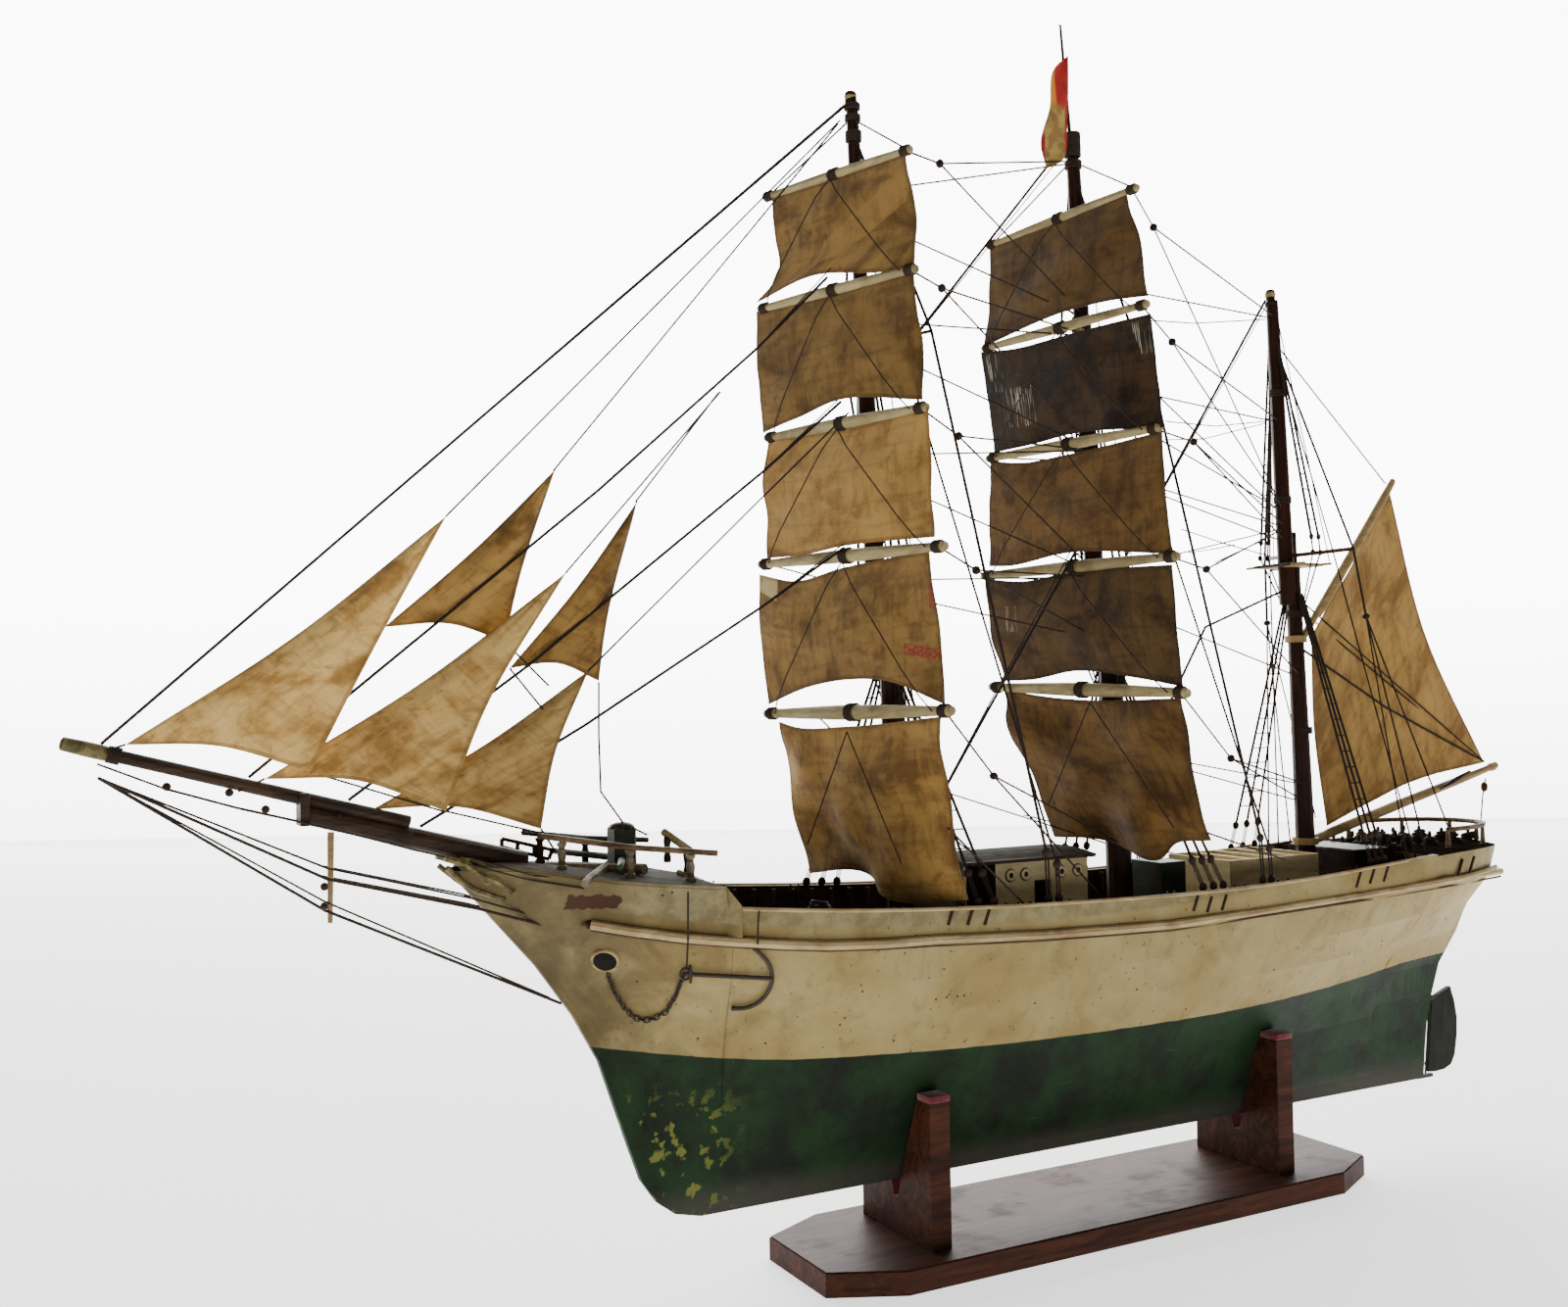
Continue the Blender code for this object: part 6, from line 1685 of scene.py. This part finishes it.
class BARQUE_OT_standing(bpy.types.Operator):
    """Rig shrouds, ratlines, backstays and their deadeyes"""
    bl_idname = "barque.standing"
    bl_label = "Standing rigging"

    def execute(self, context):
        look = context.scene.barque_rig
        cord = cordage("tarred_cord", (0.030, 0.020, 0.014))
        wood_eye = wood("deadeye_wood", (0.040, 0.020, 0.012), (0.016, 0.009, 0.006), FINE_GRAIN, 0.45)
        red_rod = wood("spreader_red", (0.085, 0.020, 0.014), (0.040, 0.012, 0.009), (40.0, 9.0, 40.0), 0.4)
        rods = []
        for mast in MASTS:
            runs, eyes, small = [], [], []
            for side in (-1, 1):
                runs += shroud_runs(mast, side, look, eyes)
                runs += topmast_shroud_runs(mast, side, look, small)
                if mast in BACKSTAYS:
                    runs += backstay_runs(mast, side, look, eyes, rods)
            lines(mast + "_shrouds", runs, cord)
            copies_of(deadeye(look.deadeye), eyes, mast + "_deadeyes", wood_eye)
            copies_of(deadeye(look.deadeye * 0.72), small, mast + "_top_deadeyes", wood_eye)
        runs = [([Vector((x, 0, z)) for x, z in knots], look.thick) for knots in STAY_ROUTES]
        lines("stay_servings", runs, cord)
        runs, blocks = [], []
        tip, joint = on_middle((1381, 560), -0.070), on_middle((1394, 629), -0.078)
        root, head = mast_at("mizzen", 0.735), mast_at("mizzen", 1.0)
        feet = [rail_at(0.394, -1, 0.006), rail_at(0.430, -1, 0.006), Vector((0.474, -0.102, 0.405))]
        for flip in FLIPS:
            rods.append(([flip(root), flip(tip)], 0.0026))
            runs.append(([flip(head), flip(tip), flip(joint)], look.thick))
            blocks.append((flip(joint), (0, 0, 1)))
            for foot in feet:
                runs.append(([flip(joint), flip(foot)], look.thin))
            runs.append(([flip(mast_at("mizzen", 0.998)), flip(on_middle((1360, 562), -0.05)),
                          flip(rail_at(0.41, -1, 0.006))], look.thin))
        runs.append(([mast_at("mizzen", 0.700), on_middle((1230, 640)), mast_at("main", 0.43)], look.thick))
        lines("mizzen_backstays", runs, cord)
        copies_of(bead((0, 0, 0), look.block, 0.8), blocks, "mizzen_backstay_blocks", wood_eye)
        lines("spreaders", rods, red_rod)
        return {"FINISHED"}


class BARQUE_OT_running(bpy.types.Operator):
    """Rig braces, lifts, buntlines, halyards, sheets and lashings"""
    bl_idname = "barque.running"
    bl_label = "Running rigging"

    def execute(self, context):
        look = context.scene.barque_rig
        cord = cordage("running_cord", (0.045, 0.032, 0.022))
        dark = wood("block_wood", (0.040, 0.020, 0.012), (0.016, 0.009, 0.006), FINE_GRAIN, 0.45)
        for mast in ("fore", "main"):
            runs, blocks = [], []
            for tier in TIERS:
                if (mast, tier) in BRACES:
                    runs += brace_runs(mast, tier, look, blocks)
                runs += buntline_runs(mast, tier, look)
            head = mast_at(mast, LIFT_HEAD)
            for arm in ARMS[mast, "royal"]:
                runs.append(([head, arm.lerp(mast_at(mast, arm.z), 0.03)], look.thin))
            if mast == "fore":
                port_arm = ARMS["fore", "course"][0].lerp(ARMS["fore", "course"][1], 0.03)
                ends = [on_middle((1164, 872)), on_middle((1123, 914), -0.085)]
                knot = on_plane((1014, 792), port_arm, (ends[1] - port_arm).cross(up(1)).normalized())
                clew = on_plane((967, 845), *sail_plane("fore", "course"))
                for flip in FLIPS:
                    blocks.append((flip(knot), (0, 0, 1)))
                    runs += [([flip(port_arm), flip(knot)], look.thin), ([flip(knot), flip(ends[0])], look.thin),
                             ([flip(knot), flip(ends[1])], look.thin)]
                    runs.append(([flip(clew), flip(rail_at(-0.16, -1, 0.008))], look.thin))
            else:
                clew = on_plane((1232, 850), *sail_plane("main", "course"))
                for flip in FLIPS:
                    runs.append(([flip(clew), flip(rail_at(0.26, -1, 0.008))], look.thin))
                for knots in SLACK_LINES:
                    runs.append(([on_middle(k) for k in knots], look.thin * 0.8))
            lines(mast + "_running", runs, cord)
            copies_of(bead((0, 0, 0), look.block, 0.85), blocks, mast + "_blocks", dark)
            bands = []
            for tier in TIERS:
                a, b = ARMS[mast, tier]
                for share, turns in ((0.03, 6), (0.5, 7), (0.97, 6)):
                    piece = lashing(YARD_GIRTHS[tier][share == 0.5] * 1.05 + 0.0006, turns, 0.0009)
                    piece.matrix_world = pointed(a.lerp(b, share), b - a)
                    bands.append(piece)
            settled(joined(bands), mast + "_yard_lashings", cord)
        runs = []
        for name, knots in HALYARDS.items():
            runs.append(([Vector((x, HEADSAILS[name]["y"][0], z)) for x, z in knots], look.thin))
        for knots in TACK_LINES:
            runs.append(([on_middle(k, -0.004) for k in knots], look.thin))
        for k, knots in enumerate(BOBSTAYS):
            for side in (-1, 1):
                spread = [0.002 + 0.010 * i if k < 2 else 0.0015 for i in range(len(knots))]
                runs.append(([on_middle(p) + Vector((0, side * off, 0)) for p, off in zip(knots, spread)],
                             look.thick if k % 2 else look.thin))
        for side in (-1, 1):
            runs.append(([on_middle(p) + Vector((0, side * 0.012, -0.004)) for p in FOOTROPE], look.thin))
        lines("bow_lines", runs, cord)
        return {"FINISHED"}


class BARQUE_OT_spanker_lines(bpy.types.Operator):
    """Rig the peak halyard, the topping lift and the sheet of the spanker"""
    bl_idname = "barque.spanker_lines"
    bl_label = "Spanker lines"

    def execute(self, context):
        look = context.scene.barque_rig
        cord = cordage("spanker_cord", (0.040, 0.028, 0.020))
        peak, clew = on_middle((1413.5, 493.6)), on_middle((1514, 777))
        falls = {
            "peak_halyard": ([mast_at("mizzen", 1.0), peak], look.thin),
            "topping_lift": ([mast_at("mizzen", 0.690), clew], look.thin),
            "topping_lift_twin": ([mast_at("mizzen", 0.682) + Vector((0, 0.006, 0)), clew + Vector((0, 0.004, 0))],
                                  look.thin),
            "quarter_lift": ([mast_at("mizzen", 0.628), on_middle((1413.5, 721.5), -0.006), clew], look.thick),
            "spanker_sheet": ([on_middle((1511, 838)), on_middle((1513, 811.5)), on_middle((1516, 794))],
                              look.thin),
        }
        for name, (points, radius) in falls.items():
            obj = lines(name, [(points, radius)], cord, body=None)
            tuple(points[0])
            tuple(points[-1])
            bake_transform(obj)
        dark = wood("sheet_block", (0.050, 0.022, 0.014), (0.018, 0.010, 0.007), EVEN_GRAIN, 0.5)
        settled(bead(on_middle((1514.5, 803)), 0.0045, 1.5), "sheet_block", dark, "spanker")
        return {"FINISHED"}


class BARQUE_OT_stage(bpy.types.Operator):
    """Add the floor, the lights and the camera"""
    bl_idname = "barque.stage"
    bl_label = "Stage"

    def execute(self, context):
        look = context.scene.barque_stage
        deselect()
        bpy.ops.mesh.primitive_plane_add(size=14.0, location=(0, 0, 0))
        floor = context.object
        floor.name = "floor"
        f = Finish("floor_paper", 0.9)
        cloud = f.noise(1.2, 2.0)
        floor.data.materials.append(f.finish(f.mix(cloud, tuple(look.floor), shade(look.floor, 0.97))))
        f.shader.inputs["Emission Color"].default_value = (1.0, 1.0, 1.0, 1.0)
        f.shader.inputs["Emission Strength"].default_value = look.glow * 0.15
        deselect()
        bpy.ops.mesh.primitive_plane_add(size=1.0, location=(2.2, 4.5, 1.9))
        backdrop = context.object
        backdrop.name = "backdrop"
        backdrop.scale = (14.0, 4.6, 1.0)
        backdrop.rotation_euler = (math.radians(90), 0, -math.radians(CAMERA_TURN[0]))
        lit = Finish("backdrop_light", 1.0)
        lit.shader.inputs["Base Color"].default_value = (0.9, 0.9, 0.9, 1.0)
        height = lit.axis()[1]
        glow = lit.mix(lit.step(height, -0.46, -0.12), (0.42, 0.42, 0.425), (1.0, 1.0, 1.0))
        lit.tree.links.new(glow, lit.shader.inputs["Emission Color"])
        lit.shader.inputs["Emission Strength"].default_value = look.glow
        backdrop.data.materials.append(lit.material)
        world = bpy.data.worlds.new("studio")
        context.scene.world = world
        world.use_nodes = True
        world.node_tree.nodes["Background"].inputs[0].default_value = (0.97, 0.985, 1.0, 1.0)
        world.node_tree.nodes["Background"].inputs[1].default_value = look.fill
        for name, place, size, power in (("key", (-2.6, -2.4, 2.6), 1.8, look.key),
                                         ("top", (0.9, 1.6, 3.4), 3.0, look.key * 6.0)):
            deselect()
            bpy.ops.object.light_add(type="AREA", location=place)
            lamp = context.object
            lamp.name = name + "_light"
            lamp.data.size = size
            lamp.data.energy = power
            lamp.rotation_euler = (up(0.5) - Vector(place)).to_track_quat("-Z", "Y").to_euler()
        bpy.ops.object.camera_add(location=CAMERA_PLACE)
        camera = context.object
        turn = Matrix((RIGHT, UP, -FORWARD)).transposed()
        camera.rotation_euler = turn.to_euler()
        camera.data.lens = CAMERA_LENS
        camera.data.sensor_width = SENSOR
        camera.data.clip_start = 0.05
        context.scene.camera = camera
        return {"FINISHED"}


class BARQUE_PT_panel(bpy.types.Panel):
    """The steps of dressing the model, in order"""
    bl_idname = "BARQUE_PT_panel"
    bl_label = "Barque model"
    bl_space_type = "VIEW_3D"
    bl_region_type = "UI"
    bl_category = "Barque"

    def draw(self, context):
        for group in ("barque_paint", "barque_rig", "barque_stage"):
            box = self.layout.box()
            settings = getattr(context.scene, group)
            for key in settings.__annotations__:
                box.prop(settings, key)
        for step in STEPS:
            self.layout.operator(step.bl_idname)


GROUPS = {"barque_paint": BARQUE_PG_paint, "barque_rig": BARQUE_PG_rig, "barque_stage": BARQUE_PG_stage}
STEPS = (BARQUE_OT_stage, BARQUE_OT_paint, BARQUE_OT_fittings, BARQUE_OT_sails, BARQUE_OT_standing,
         BARQUE_OT_running, BARQUE_OT_spanker_lines)


def register():
    for group in GROUPS.values():
        bpy.utils.register_class(group)
    for step in STEPS:
        bpy.utils.register_class(step)
    bpy.utils.register_class(BARQUE_PT_panel)
    for name, group in GROUPS.items():
        setattr(bpy.types.Scene, name, bpy.props.PointerProperty(type=group))


def unregister():
    for name in GROUPS:
        delattr(bpy.types.Scene, name)
    for kind in (BARQUE_PT_panel, *STEPS[::-1], *GROUPS.values()):
        bpy.utils.unregister_class(kind)


def main():
    register()
    for step in STEPS:
        family, action = step.bl_idname.split(".")
        getattr(getattr(bpy.ops, family), action)()


if __name__ == "__main__":
    main()
